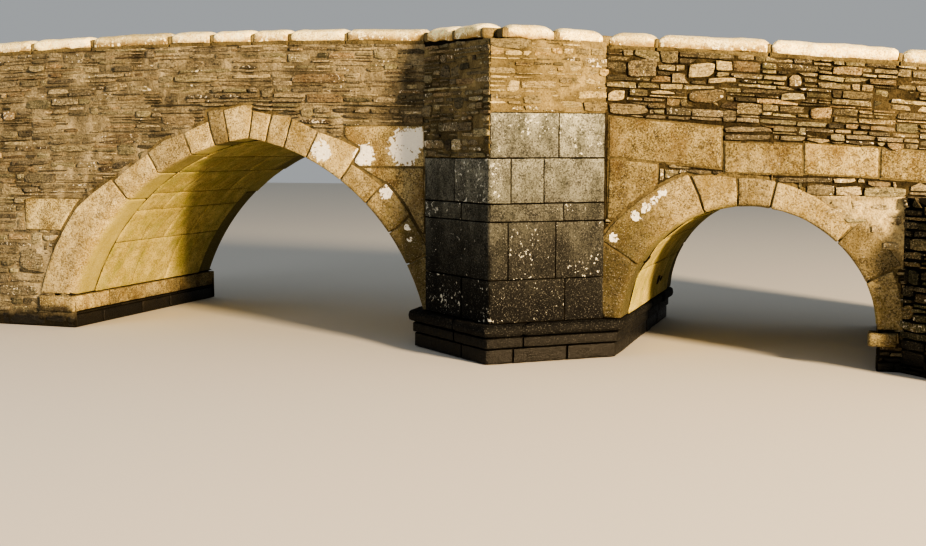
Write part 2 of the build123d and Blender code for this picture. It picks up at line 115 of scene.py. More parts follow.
class Arch:
    """Two arcs that meet at the crown, and the wedge stones round them. Distances along it
    run over the soffit from the west springing; depths go from the soffit into the ring."""

    def __init__(self, west, crown_x, crown_z, east, west_bow, east_bow, stones):
        self.crown = (crown_x, crown_z)
        self.feet = (west, east)
        self.flanks = []
        for springing, bow in ((west, west_bow), (east, east_bow)):
            chord_x, chord_z = crown_x - springing, crown_z - SPRINGING
            chord = math.hypot(chord_x, chord_z)
            radius = (chord**2 / 4 + bow**2) / (2 * bow)
            drop = radius - bow
            side = 1 if chord_x > 0 else -1
            centre_x = (crown_x + springing) / 2 + side * drop * chord_z / chord
            centre_z = (crown_z + SPRINGING) / 2 - side * drop * chord_x / chord
            run = 2 * radius * math.asin(chord / 2 / radius)
            foot = math.atan2(SPRINGING - centre_z, springing - centre_x)
            self.flanks.append((centre_x, centre_z, radius, run, foot, side))
        self.length = self.flanks[0][3] + self.flanks[1][3]
        marks = np.concatenate([[0], np.cumsum([width for width, *_ in stones])])
        self.joints = marks / marks[-1] * self.length
        self.depths = [depths for _, *depths in stones]

    def place(self, along, depth):
        """X and Z of points at distances along the soffit and depths into the ring."""
        found = []
        for index, (cx, cz, radius, _, foot, side) in enumerate(self.flanks):
            run = along if index == 0 else self.length - along
            angle = foot - side * run / radius
            far = radius + depth
            found.append((cx + far * np.cos(angle), cz + far * np.sin(angle)))
        first = along <= self.flanks[0][3]
        return np.where(first, found[0][0], found[1][0]), np.where(first, found[0][1], found[1][1])

    def locate(self, x, z):
        """Distance along the soffit and depth into the ring of points of the wall."""
        found = []
        for index, (cx, cz, radius, _, foot, side) in enumerate(self.flanks):
            turned = side * (foot - np.arctan2(z - cz, x - cx))
            turned = (turned + math.pi) % (2 * math.pi) - math.pi
            along = turned * radius if index == 0 else self.length - turned * radius
            found.append((along, np.hypot(x - cx, z - cz) - radius))
        west = x <= self.crown[0]
        return np.where(west, found[0][0], found[1][0]), np.where(west, found[0][1], found[1][1])

    def depth_of(self, along):
        """Depth of the ring's stones at distances along the soffit."""
        deep = np.zeros(np.shape(along))
        for start, end, depths in zip(self.joints, self.joints[1:], self.depths):
            there = np.interp(along, np.linspace(start, end, len(depths)), depths)
            deep = np.where(along >= start, there, deep)
        return deep

    def springing_at(self, depth, at_west):
        """Distance along the soffit of the places level with the springing, by depth."""
        cx, cz, radius, run, foot, side = self.flanks[0 if at_west else 1]
        angle = np.arcsin((SPRINGING - cz) / (radius + depth))
        if at_west:
            return radius * side * (foot - (math.pi - angle))
        return self.length - radius * side * (foot - angle)

    def covers(self, x, z, margin):
        """True where the opening or the ring's stones, with a margin round them, cover a point."""
        along, depth = self.locate(x, z)
        near = np.clip(along, 0, self.length)
        deep = np.maximum(self.depth_of(near - margin), self.depth_of(near + margin)) + margin
        beside = (x > self.feet[0]) & (x < self.feet[1])
        return np.where(z < SPRINGING, beside, depth < deep)


west_arch = Arch(-4.800, -2.300, 2.385, -0.090, 0.447, 0.439, WEST_RING)
east_arch = Arch(2.183, 3.508, 1.664, 4.833, 0.359, 0.359, EAST_RING)

# Granite blocks in the walls: west end and length, then bottom and top at the west and the
# east end, all measured from the place named first in each group.
GRANITE_BLOCKS = (
    ((-4.800, SPRINGING), (-0.690, 0.890, 0.810, 1.215, 0.810, 1.215)),
    ((CUTWATER_WEST, west_arch.crown[1]), (-0.990, 0.980, -0.335, 0.130, -0.335, 0.130)),
    ((CUTWATER_WEST, west_arch.crown[1]), (-0.810, 0.800, -1.085, -0.345, -1.085, -0.345)),
    (east_arch.crown, (-1.473, 0.540, -0.165, 0.492, -0.165, 0.435)),
    (east_arch.crown, (-1.473, 1.200, 0.502, 0.938, 0.376, 0.816)),
    (east_arch.crown, (-0.246, 0.785, 0.338, 0.661, 0.323, 0.639)),
    (east_arch.crown, (0.552, 0.730, 0.331, 0.656, 0.298, 0.598)),
    (east_arch.crown, (1.295, 0.790, 0.291, 0.598, 0.236, 0.531)),
)


def noise(points, size, seed):
    """Smooth noise from -1 to 1 whose lumps are size metres across, one size or one per axis."""
    cell = points / np.asarray(size) + seed * 7.31
    low = np.floor(cell).astype(np.int64)
    part = cell - low
    part = part * part * (3 - 2 * part)
    total = np.zeros(len(points))
    for corner in np.ndindex(2, 2, 2):
        weight = np.prod(np.where(np.array(corner) == 1, part, 1 - part), axis=1)
        key = low + corner
        mixed = key[:, 0] * 374761393 + key[:, 1] * 668265263 + key[:, 2] * 2147483647
        mixed = (mixed ^ (mixed >> 13)) * 1274126177
        mixed = (mixed ^ (mixed >> 16)) & 0xFFFF
        total += weight * (mixed / 32767.5 - 1)
    return total


def on_plan(u, v):
    """Points of a flat sheet, for noise that doesn't change through it."""
    return np.stack([u, v, np.zeros_like(u)], -1)


def lines(length, rounding, pitch):
    """Lattice lines across a stone: both ends, where the rounding starts, and between."""
    inner = length - 2 * rounding
    count = max(1, math.ceil(inner / pitch))
    return np.concatenate([[0], rounding + inner * np.arange(count + 1) / count, [length]])


def rough_block(size, pitch, rounding, seed, roughness, bedded=False):
    """Closed surface of a rough stone from (0, 0, 0) to size, y = 0 its face.

    Roughness lists the lump size and the height of each kind of unevenness, all cut into the
    stone. The back of a bedded stone is hidden, so it is one plain face."""
    rounding = min(rounding, 0.45 * min(size))
    pitches = (pitch,) * 3 if np.isscalar(pitch) else pitch
    axes = [lines(length, rounding, step) for length, step in zip(size, pitches)]
    if bedded:
        axes[1] = np.array([0, rounding, size[1]])
    counts = [len(axis) for axis in axes]
    sides = [(0, 0, False), (0, -1, True), (1, 0, True), (2, 0, False), (2, -1, True)]
    if not bedded:
        sides.append((1, -1, False))
    shell = np.zeros(counts, bool)
    for axis, end, _ in sides:
        cut = [slice(None)] * 3
        cut[axis] = end
        shell[tuple(cut)] = True
    index = np.full(counts, -1)
    index[shell] = np.arange(shell.sum())
    flat = np.stack(np.meshgrid(*axes, indexing="ij"), -1)[shell]
    inner = np.clip(flat, rounding, np.array(size) - rounding)
    outward = flat - inner
    outward /= np.linalg.norm(outward, axis=1)[:, None]
    reach = np.full(len(flat), rounding)
    for layer, (lump, height) in enumerate(roughness):
        reach -= height * (0.5 + 0.5 * noise(flat, lump, seed + 3.7 * layer))
    points = inner + outward * reach[:, None]
    faces = []
    for axis, end, turned in sides:
        cut = [slice(None)] * 3
        cut[axis] = end
        sheet = index[tuple(cut)]
        a, b, c, d = sheet[:-1, :-1], sheet[1:, :-1], sheet[1:, 1:], sheet[:-1, 1:]
        corners = [a, b, c, d] if turned else [a, d, c, b]
        faces.append(np.stack(corners, -1).reshape(-1, 4))
    if bedded:
        sheet = index[:, -1, :]
        rim = [sheet[0, :-1], sheet[:-1, -1], sheet[-1, :0:-1], sheet[:0:-1, 0]]
        faces.append(np.concatenate(rim)[None])
    return points, faces


def with_dirt_and_shade(look, behind, darkest=0.62):
    """A stone's look at each point: dirt and painted shade darken what lies behind its face, in its
    joints.
    """
    tint, shade, lichen = look
    dirt_and_shade = np.clip((behind - 0.006) / 0.028, 0, 1)
    return np.stack([tint + 0 * behind, shade - darkest * dirt_and_shade, lichen + 0 * behind], -1)


# White lichen on the front: X, Z, reach, and the height that it ends at below
LICHEN = (
    (-1.350, 2.240, 0.155, 0.0), (-0.810, 2.170, 0.150, 2.050), (-0.300, 2.270, 0.240, 2.050),
    (-0.130, 2.370, 0.130, 2.050), (-0.529, 1.762, 0.105, 0.0), (-0.273, 1.367, 0.045, 0.0),
    (-0.250, 1.219, 0.040, 0.0), (2.620, 1.790, 0.050, 0.0), (2.540, 1.715, 0.055, 0.0),
    (2.450, 1.630, 0.065, 0.0), (2.345, 1.545, 0.075, 0.0), (2.107, 1.296, 0.060, 0.0),
)


def with_lichen(points, look):
    """Adds the named patches of lichen to the look of a stone's points."""
    look = np.array(np.broadcast_to(np.asarray(look, float), (len(points), 3)))
    front = points[:, 1] < 0
    for x, z, radius, lowest in LICHEN:
        reach = np.hypot(points[:, 0] - x, points[:, 2] - z) / radius
        amount = np.clip(1.7 - 1.3 * reach, 0, 0.85) * front * (points[:, 2] > lowest)
        look[:, 2] = np.maximum(look[:, 2], amount)
    return look


SHARPEST_SMOOTH = 50  # degrees between two faces that are still shaded as one


class Piece:
    """Gathers the stones of one piece of the bridge and makes its mesh."""

    def __init__(self, name):
        self.name = name
        self.points, self.loops, self.sizes, self.looks = [], [], [], []
        self.total = 0

    def add(self, points, faces, look, flip=False):
        """look is (tint, shade, lichen), each from 0 to 1, for the whole stone or per point."""
        for group in faces:
            self.loops.append((group[:, ::-1] if flip else group).ravel() + self.total)
            self.sizes.append(np.full(len(group), group.shape[1]))
        self.points.append(points)
        self.looks.append(np.broadcast_to(np.asarray(look, float), (len(points), 3)))
        self.total += len(points)

    def build(self, finish, slot, *nodes):
        """Makes the mesh in its finish; it stands for the CAD nodes named last."""
        loops, sizes = np.concatenate(self.loops), np.concatenate(self.sizes)
        mesh = bpy.data.meshes.new(self.name)
        mesh.vertices.add(self.total)
        mesh.vertices.foreach_set("co", np.concatenate(self.points).astype(np.float32).ravel())
        mesh.loops.add(len(loops))
        mesh.loops.foreach_set("vertex_index", loops.astype(np.int32))
        mesh.polygons.add(len(sizes))
        starts = np.concatenate([[0], np.cumsum(sizes)[:-1]])
        mesh.polygons.foreach_set("loop_start", starts.astype(np.int32))
        mesh.update(calc_edges=True)
        mesh.validate()
        looks = mesh.attributes.new("stone_look", "FLOAT_VECTOR", "POINT")
        looks.data.foreach_set("vector", np.concatenate(self.looks).astype(np.float32).ravel())
        mesh.shade_smooth()
        mesh.set_sharp_from_angle(angle=math.radians(SHARPEST_SMOOTH))
        made = bpy.data.objects.new(self.name, mesh)
        bpy.context.scene.collection.objects.link(made)
        mesh.materials.append(finish)
        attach(made, "root")
        if nodes:
            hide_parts(*nodes)


# Faces of the walls, by u along them, v up and w out of the face
def front_wall(u, v, w):
    return np.stack([u, -WALL_FACE - w, v], -1)


def back_wall(u, v, w):
    return np.stack([u, WALL_FACE + w, v], -1)


def front_inside(u, v, w):
    return np.stack([u, -INNER_FACE + w, v], -1)


def back_inside(u, v, w):
    return np.stack([u, INNER_FACE - w, v], -1)


def west_end(u, v, w):
    return np.stack([-HALF_LENGTH - w, u, v], -1)


def east_end(u, v, w):
    return np.stack([HALF_LENGTH + w, u, v], -1)


def road_face(u, v, w):
    return np.stack([u, v, road_top(u) + w], -1)


def leaning_wall(start, end):
    """Wall over a straight line on the plan; it faces the right hand of that line."""
    start, end = np.array(start), np.array(end)
    along = (end - start) / np.linalg.norm(end - start)

    def place(u, v, w):
        x = start[0] + along[0] * u + along[1] * w
        y = start[1] + along[1] * u - along[0] * w
        return np.stack([x, y, v], -1)

    return place, float(np.linalg.norm(end - start))


def face_turns(place):
    """True where a wall's u, v and w axes make its stones inside out, so they are turned."""
    ends = np.array([[0.0, 1.0, 0.0, 0.0], [0.0, 0.0, 1.0, 0.0], [0.0, 0.0, 0.0, 1.0]])
    probe = place(*ends)
    return float(np.linalg.det(probe[1:] - probe[0])) > 0


RUBBLE_CELL = 0.020  # how finely a wall is divided to find the lowest place in it
SLATE_BED = 0.030  # how far slates reach into their wall
SKIN_BED = 0.012  # how far a skin of mortar or gravel reaches in


def runs(free):
    """Every run of free places, as (first, last)."""
    edges = np.flatnonzero(np.diff(np.concatenate([[False], free, [False]]).astype(int)))
    return [(a, b - 1) for a, b in zip(edges[::2], edges[1::2])]


def lay_rubble(length, height, course, stone):
    """Stones (u0, u1, v0, v1) that fill a wall from below, each on the lowest place there.
    course gives the usual thickness at a height, and stone is the usual length."""
    columns = max(2, round(length / RUBBLE_CELL))
    cell = length / columns
    top = np.zeros(columns)
    laid = []
    while top.min() < height - 1e-6:
        first = int(np.argmin(top))
        low = top[first]
        usual = course(low)
        last = first
        while last < columns and top[last] < low + 0.012:
            last += 1
        floor = top[first:last].max()
        left = top[first - 1] - floor if first else 9.0
        right = top[last] - floor if last < columns else 9.0
        room = (last - first) * cell
        thick = usual * float(np.clip(rng.lognormal(0, 0.42), 0.45, 2.3))
        for step in (left, right):
            if 0.55 * thick < step < 1.5 * thick:
                thick = step
                break
        if room < 0.4 * stone:
            thick = min(2.2 * usual, max(0.5 * usual, min(left, right)))
        if floor + thick > height - 0.4 * usual:
            thick = height - floor
        long = stone * float(np.clip(rng.lognormal(0, 0.45), 0.35, 2.3))
        if room - long < 0.35 * stone:
            long = room
        count = max(1, min(last - first, round(long / cell)))
        begin = last - count if left > right and right < 9 else first
        laid.append((begin * cell, (begin + count) * cell, floor, floor + thick))
        top[begin : begin + count] = floor + thick
    return laid


def fit_stone(stone, free, warp, joint):
    """What is left of a stone where the wall is free for it: heights, and its ends there."""
    u0, u1, v0, v1 = stone
    u0, u1, v0, v1 = u0 + joint / 2, u1 - joint / 2, v0 + joint / 2, v1 - joint / 2
    if u1 - u0 < 0.03 or v1 - v0 < 0.012:
        return []
    across = np.linspace(u0, u1, max(3, int((u1 - u0) / 0.008) + 1))
    heights = np.linspace(v0, v1, 3)
    rows = [runs(free(*warp(across, np.full(len(across), v)))) for v in heights]
    fitted = []
    for first, last in rows[1]:
        if across[last] - across[first] < 0.045:
            continue
        ends = []
        for row in rows:
            near = [r for r in row if r[1] >= first and r[0] <= last]
            if near:
                a, b = max(near, key=lambda r: min(r[1], last) - max(r[0], first))
            else:
                a = b = (first + last) // 2
            ends.append((across[a], across[b]))
        fitted.append((heights, np.array(ends)))
    return fitted


def level(u, v):
    return u, v


SLATE_ROUGHNESS = (((0.15, 0.08, 0.06), 0.009), ((0.08, 0.05, 0.04), 0.007))


def lay_slate(heights, ends, warp, place, proud, pitch=(0.045, 0.024), rounding=0.012,
              roughness=SLATE_ROUGHNESS, ragged=1.0):
    """One slate between its ends at each height, from its bed out to its uneven face."""
    thick = heights[-1] - heights[0]
    wide = max(0.02, float((ends[:, 1] - ends[:, 0]).mean()))
    size = (wide, proud + SLATE_BED, thick)
    seed = float(rng.uniform(0, 900))
    rounding = min(rounding, 0.28 * thick)
    points, faces = rough_block(size, (pitch[0], 1, pitch[1]), rounding, seed, roughness, True)
    across, up = points[:, 0] / wide, points[:, 2] / thick
    v = heights[0] + up * thick
    west = np.interp(v, heights, ends[:, 0])
    east = np.interp(v, heights, ends[:, 1])
    u = west + across * (east - west)
    # Skewed corners, wandering edges and a leaning face
    skew = rng.uniform(-1, 1, (2, 2, 2)) * (min(0.012, 0.1 * wide), min(0.006, 0.13 * thick))
    for end, share in ((0, 1 - across), (1, across)):
        for side, part in ((0, 1 - up), (1, up)):
            u = u + share * part * skew[end, side, 0]
            v = v + share * part * skew[end, side, 1]
    # Ends that thin out to a broken edge, some up and some down
    taper = np.where(across < 0.5, *rng.uniform(0.05, 0.62 * ragged, 2))
    droop = np.where(across < 0.5, *rng.uniform(-0.5, 0.5, 2))
    ending = np.abs(2 * across - 1) ** float(np.clip(1.3 * wide / thick, 3, 14))
    middle = (heights[0] + heights[-1]) / 2
    v = middle + (v - middle) * (1 - taper * ending) + droop * taper * ending * thick * 0.8
    wander = min(0.008, 0.13 * thick)
    v = v + wander * (2 * up - 1) * noise(on_plan(u, up * 0.4), 0.075, seed)
    u = u + 0.008 * (2 * across - 1) * noise(on_plan(across * 0.4, v), 0.05, seed + 5)
    lean = rng.uniform(-1, 1, 2) * (0.007, 0.006)
    leaning = (lean[0] * (2 * across - 1) + lean[1] * (2 * up - 1)) * (1 - points[:, 1] / size[1])
    u, v = warp(u, v)
    return place(u, np.maximum(v, 0.002), proud + leaning - points[:, 1]), faces, points[:, 1]


def slate_look():
    """A slate's own tint, shade and lichen; a few are bleached."""
    shade = float(np.clip(0.58 + 0.23 * rng.standard_normal(), 0.12, 1))
    if rng.random() < 0.03:
        shade = float(rng.uniform(0.95, 1.15))
    return rng.uniform(0, 1), shade, rng.random() ** 2 * 0.32


def fill_wall(target, place, start, stones, free, warp, proud, joint=0.011, **shape):
    """Lays slates in a wall; target(u, v) names the piece that a stone belongs to."""
    turned = face_turns(place)
    for u0, u1, v0, v1 in stones:
        for heights, ends in fit_stone((u0 + start, u1 + start, v0, v1), free, warp, joint):
            middle = warp(ends.mean(), heights.mean())
            laid_in = target(*middle)
            if laid_in is None:
                continue
            out = proud(*middle)
            points, faces, behind = lay_slate(heights, ends, warp, place, out, **shape)
            look = with_dirt_and_shade(slate_look(), behind)
            laid_in.add(points, faces, with_lichen(points, look), flip=turned)


def skin(made, place, u_ends, v_ends, keep, rise, seed, pitch=0.04, warp=level):
    """A thin uneven layer on a face, such as mortar rubbed over a wall, where keep(u, v) is
    true. rise(u, v, bump) gives its thickness from noise between 0 and 1."""
    columns = max(2, round((u_ends[1] - u_ends[0]) / pitch))
    rows = max(2, round((v_ends[1] - v_ends[0]) / pitch))
    lattice = np.linspace(*u_ends, columns + 1), np.linspace(*v_ends, rows + 1)
    us, vs = np.meshgrid(*lattice, indexing="ij")
    u, v = warp(us.ravel(), vs.ravel())
    flat = on_plan(u, v)
    bump = 0.5 + 0.3 * noise(flat, 0.30, seed) + 0.2 * noise(flat, 0.075, seed + 4)
    thickness = rise(u, v, np.clip(bump, 0, 1))
    top, under = place(u, v, thickness), place(u, v, np.full(len(u), -SKIN_BED))
    shape = us.shape
    u, v = u.reshape(shape), v.reshape(shape)
    middle = (u[1:, 1:] + u[:-1, :-1]) / 2, (v[1:, 1:] + v[:-1, :-1]) / 2
    kept = np.pad(keep(*middle), 1)
    index = np.arange(us.size).reshape(shape)
    a, b, c, d = index[:-1, :-1], index[1:, :-1], index[1:, 1:], index[:-1, 1:]
    here = kept[1:-1, 1:-1]
    under_by = us.size
    faces = [
        np.stack([a, b, c, d], -1)[here],
        np.stack([d, c, b, a], -1)[here] + under_by,
    ]
    for first, second, beside in (
        (a, b, kept[1:-1, :-2]), (b, c, kept[2:, 1:-1]),
        (c, d, kept[1:-1, 2:]), (d, a, kept[:-2, 1:-1]),
    ):
        edge = here & ~beside
        p, q = first[edge], second[edge]
        faces.append(np.stack([q, p, p + under_by, q + under_by], -1))
    used = np.zeros(2 * us.size, bool)
    for group in faces:
        used[group.ravel()] = True
    renumber = np.cumsum(used) - 1
    points = np.concatenate([top, under])[used]
    # Painted shade and dirt: the layer is darker where it is thin and lies deep in the joints,
    # paler where it stands out.
    shade = np.clip(0.12 + thickness / 0.020, 0, 1)
    shade = np.concatenate([shade, shade])[used]
    look = np.stack([0.5 + 0 * shade, shade, 0 * shade], -1)
    made.add(points, [renumber[group] for group in faces], look, flip=not face_turns(place))


def linear(hex_code):
    """Linear colour with alpha from an sRGB hex code."""
    parts = [int(hex_code[i : i + 2], 16) / 255 for i in (1, 3, 5)]
    return [p / 12.92 if p <= 0.04045 else ((p + 0.055) / 1.055) ** 2.4 for p in parts] + [1.0]


def node(tree, kind, inputs=None, take=0, **settings):
    """Adds a node and gives one of its outputs, or all of them where take is None.

    Settings are the node's own. Inputs holds what goes into its sockets: a hex colour, a
    value, or another node's output, which is linked."""
    made = tree.nodes.new("ShaderNode" + kind)
    for name, value in settings.items():
        setattr(made, name, value)
    for socket, value in (inputs or {}).items():
        if isinstance(value, bpy.types.NodeSocket):
            tree.links.new(value, made.inputs[socket])
        else:
            made.inputs[socket].default_value = linear(value) if isinstance(value, str) else value
    return made.outputs if take is None else made.outputs[take]


RGBA = {"data_type": "RGBA"}


def stone_start(name):
    """A new material, its nodes, where a point is in metres, and its stone's own look."""
    material = bpy.data.materials.new(name)
    material.use_nodes = True
    tree = material.node_tree
    tree.nodes.clear()
    place = node(tree, "TexCoord", take="Object")
    look = node(tree, "Attribute", take="Vector", attribute_name="stone_look")
    return material, tree, place, node(tree, "SeparateXYZ", {0: look}, None)


def flecks(tree, colour, pattern, kinds):
    """Lays flecks over a colour. Each kind is the pattern's value where it starts, the one
    where it is full, how much of it there is at most, and its colour."""
    for start, full, amount, fleck in kinds:
        share = node(tree, "MapRange", {0: pattern, 1: start, 2: full, 3: 0.0, 4: amount})
        colour = node(tree, "Mix", {0: share, 6: colour, 7: fleck}, 2, **RGBA)
    return colour


def patches(tree, under, over, place, size, low, high, amount, stretch=(1, 1, 1), detail=4.0):
    """Lays patches of another colour over one. Size is that of the patches in metres; they
    are full where the noise passes high and end where it falls below low."""
    if stretch != (1, 1, 1):
        place = node(tree, "Mapping", {0: place, "Scale": stretch})
    lumps = node(tree, "TexNoise", {
        0: place, "Scale": 1 / size, "Detail": detail, "Roughness": 0.62,
    })
    return flecks(tree, under, lumps, ((low, high, amount, over),))


def crust_of(tree, colour, place, lichen, spot, low, amount, pale):
    """Crustose lichen: round spots that run together where the stone's lichen is high."""
    spots = node(tree, "TexNoise", {0: place, "Scale": 1 / spot, "Detail": 5.0, "Roughness": 0.6})
    fields = node(tree, "TexNoise", {0: place, "Scale": 1 / 0.35, "Detail": 3.0, "Roughness": 0.6})
    growth = node(tree, "Math", {0: fields, 1: 0.5, 2: spots}, operation="MULTIPLY_ADD")
    growth = node(tree, "Math", {0: lichen, 1: 0.55, 2: growth}, operation="MULTIPLY_ADD")
    share = node(tree, "MapRange", {0: growth, 1: low, 2: low + 0.05, 3: 0.0, 4: amount})
    return node(tree, "Mix", {0: share, 6: colour, 7: pale}, 2, **RGBA), share


def soak(tree, colour, place, dry_above, wet_below, wet_colour="#14120c"):
    """The water's stain: full below one height, gone above another, along an uneven line."""
    lumps = node(tree, "TexNoise", {0: place, "Scale": 1 / 0.30, "Detail": 4.0, "Roughness": 0.6})
    height = node(tree, "SeparateXYZ", {0: place}, 2)
    line = node(tree, "Math", {0: lumps, 1: -0.16, 2: height}, operation="MULTIPLY_ADD")
    wet = node(tree, "MapRange", {
        0: line, 1: wet_below - 0.08, 2: dry_above - 0.08, 3: 0.94, 4: 0.0,
    })
    return node(tree, "Mix", {0: wet, 6: colour, 7: wet_colour}, 2, **RGBA), wet


def own_shade(tree, colour, shade, dark, light):
    """Each stone's own depth of colour, and the dirt and painted shade that its look carries."""
    depth = node(tree, "MapRange", {0: shade, 1: 0.0, 2: 1.0, 3: dark, 4: light})
    return node(tree, "Mix", {0: 1.0, 6: colour, 7: depth}, 2, blend_type="MULTIPLY", **RGBA)


def stone_end(tree, colour, roughness, relief, gloss):
    """The stone's shader, its fine relief given as pairs of height noise and metres."""
    normal = None
    for height, distance in relief:
        inputs = {"Strength": 1.0, "Distance": distance, "Height": height}
        if normal is not None:
            inputs["Normal"] = normal
        normal = node(tree, "Bump", inputs)
    shader = node(tree, "BsdfPrincipled", {
        "Base Color": colour, "Roughness": roughness, "Metallic": 0.0, "IOR": 1.5,
        "Specular IOR Level": gloss, "Normal": normal,
    })
    node(tree, "OutputMaterial", {0: shader}, None)


CRUST = "#efece0"


def granite_finish(name, body, feldspar, mica, stain, stained, crust, crust_low, dry_above,
                   damp_and_shade=None, tinge=None):
    """Granite dressed with a point and weathered: pale feldspar and black mica, dirt where
    water runs, crusts of lichen, and dark damp at the water. Where asked, it darkens more and
    more towards the water, partly as damp and partly as painted shadow."""
    material, tree, place, look = stone_start(name)
    colour = patches(tree, body, feldspar, place, 0.26, 0.44, 0.60, 0.85)
    colour = patches(tree, colour, mica, place, 0.11, 0.48, 0.70, 0.65, detail=6.0)
    # Crystals are 5 to 20 mm; they are drawn at 18 mm, the finest grain that shows.
    grain = node(tree, "TexNoise", {0: place, "Scale": 1 / 0.018, "Detail": 3.0, "Roughness": 0.8})
    colour = flecks(tree, colour, grain, ((0.50, 0.62, 0.70, feldspar), (0.49, 0.39, 0.80, mica)))
    colour = patches(tree, colour, stain, place, 0.20, 0.44, 0.66, stained, (1, 1, 0.45), 6.0)
    if tinge:
        # A second colour where the stones' look asks for it, broken up by the grain
        lumps = node(tree, "TexNoise", {
            0: place, "Scale": 1 / 0.09, "Detail": 5.0, "Roughness": 0.7,
        })
        amount = node(tree, "Math", {0: lumps, 1: 1.3, 2: look[0]}, operation="MULTIPLY_ADD")
        colour = flecks(tree, colour, amount, ((0.80, 1.45, 0.75, tinge),))
    colour = own_shade(tree, colour, look[1], 0.12, 1.42)
    if damp_and_shade:
        # Damp and algae, and a painted shadow, darken the stone more and more towards the water.
        lumps = node(tree, "TexNoise", {
            0: place, "Scale": 1 / 0.45, "Detail": 4.0, "Roughness": 0.6,
        })
        height = node(tree, "SeparateXYZ", {0: place}, 2)
        height = node(tree, "Math", {0: lumps, 1: 0.7, 2: height}, operation="MULTIPLY_ADD")
        low, high, least = damp_and_shade
        dim = node(tree, "MapRange", {0: height, 1: low + 0.35, 2: high + 0.35, 3: least, 4: 1.0})
        dim = node(tree, "Math", {0: dim, 1: 2.5}, operation="POWER")
        colour = node(tree, "Mix", {0: 1.0, 6: colour, 7: dim}, 2, blend_type="MULTIPLY", **RGBA)
    # Specks of lichen are 2 to 10 mm across; they are drawn at 16 mm, the finest that shows.
    specks = node(tree, "TexNoise", {0: place, "Scale": 1 / 0.016, "Detail": 2.0, "Roughness": 0.8})
    colour = flecks(tree, colour, specks, ((0.58, 0.72, 0.24, crust),))
    colour, spots = crust_of(tree, colour, place, look[2], 0.04, crust_low, 0.9, crust)
    colour, wet = soak(tree, colour, place, dry_above, 0.10)
    roughness = node(tree, "MapRange", {0: wet, 1: 0.0, 2: 1.0, 3: 0.86, 4: 0.40})
    pits = node(tree, "TexNoise", {0: place, "Scale": 1 / 0.07, "Detail": 5.0, "Roughness": 0.7})
    stone_end(tree, colour, roughness, ((pits, 0.014), (grain, 0.008), (spots, 0.0015)), 0.30)
    return material


def slate_finish(name, browns, dry_above, light=1.25, rust=0.35):
    """Slate from a small quarry, split and laid as rubble: fine laminae along the bed, brown
    and olive with age, rusty in places, and dotted with pale lichen."""
    material, tree, place, look = stone_start(name)
    steps = [number / len(browns) for number in range(1, len(browns))]
    kinds = [(step - 0.08, step + 0.08, 1.0, brown) for step, brown in zip(steps, browns[1:])]
    colour = flecks(tree, browns[0], look[0], kinds)
    # Laminae are 3 to 8 mm thick; they are drawn at 18 mm, the finest that shows.
    along = node(tree, "Mapping", {0: place, "Scale": (1 / 0.11, 1 / 0.11, 1 / 0.018)})
    laminae = node(tree, "TexNoise", {0: along, "Scale": 1.0, "Detail": 3.0, "Roughness": 0.7})
    colour = flecks(tree, colour, laminae, (
        (0.50, 0.34, 0.75, "#37322a"), (0.54, 0.72, 0.50, "#b5a88a"),
    ))
    grain = node(tree, "TexNoise", {0: place, "Scale": 1 / 0.026, "Detail": 3.0, "Roughness": 0.8})
    colour = flecks(tree, colour, grain, (
        (0.48, 0.37, 0.65, "#332e26"), (0.54, 0.68, 0.55, "#c0b291"),
    ))
    # Lichen specks are 2 to 10 mm across; they are drawn at 15 mm, the finest that shows.
    specks = node(tree, "TexNoise", {0: place, "Scale": 1 / 0.015, "Detail": 2.0, "Roughness": 0.8})
    colour = flecks(tree, colour, specks, ((0.61, 0.68, 0.75, "#d8cba6"),))
    colour = patches(tree, colour, "#8a6236", place, 0.20, 0.60, 0.76, rust)
    colour = patches(tree, colour, "#75724c", place, 0.35, 0.54, 0.72, 0.45)
    colour = own_shade(tree, colour, look[1], 0.16, light)
    colour, spots = crust_of(tree, colour, place, look[2], 0.032, 1.00, 0.85, "#ded6c0")
    colour, wet = soak(tree, colour, place, dry_above, 0.12)
    roughness = node(tree, "MapRange", {0: wet, 1: 0.0, 2: 1.0, 3: 0.80, 4: 0.38})
    stone_end(tree, colour, roughness, ((laminae, 0.018), (grain, 0.014), (spots, 0.0015)), 0.35)
    return material


def mortar_finish(name, body, pale, dark, dry_above):
    """Lime mortar thrown and rubbed into the joints: sandy, cracked, and darker where it lies
    deep, both from dirt and as painted shade."""
    material, tree, place, look = stone_start(name)
    colour = patches(tree, body, pale, place, 0.15, 0.42, 0.66, 0.8)
    colour = patches(tree, colour, dark, place, 0.40, 0.46, 0.70, 0.5)
    # Sand grains are 1 to 3 mm; they are drawn at 22 mm, the finest that shows.
    sand = node(tree, "TexNoise", {0: place, "Scale": 1 / 0.022, "Detail": 3.0, "Roughness": 0.8})
    colour = flecks(tree, colour, sand, ((0.48, 0.36, 0.60, dark), (0.54, 0.68, 0.60, pale)))
    colour = own_shade(tree, colour, look[1], 0.15, 1.20)
    colour, _ = soak(tree, colour, place, dry_above, 0.10)
    lumps = node(tree, "TexNoise", {0: place, "Scale": 1 / 0.08, "Detail": 5.0, "Roughness": 0.65})
    stone_end(tree, colour, 0.92, ((lumps, 0.028), (sand, 0.009)), 0.20)
    return material


DRY = 0.26
# Pointed granite, long in the weather: the punch's pits catch the light as soft, grainy relief,
# cream where the sun bleaches it and green-gold where algae grow.
ring_granite = granite_finish(
    "pointed_granite_cream", "#a3936a", "#cab98a", "#4a402c", "#85713f", 0.60, CRUST, 1.07, DRY,
    tinge="#999052",
)
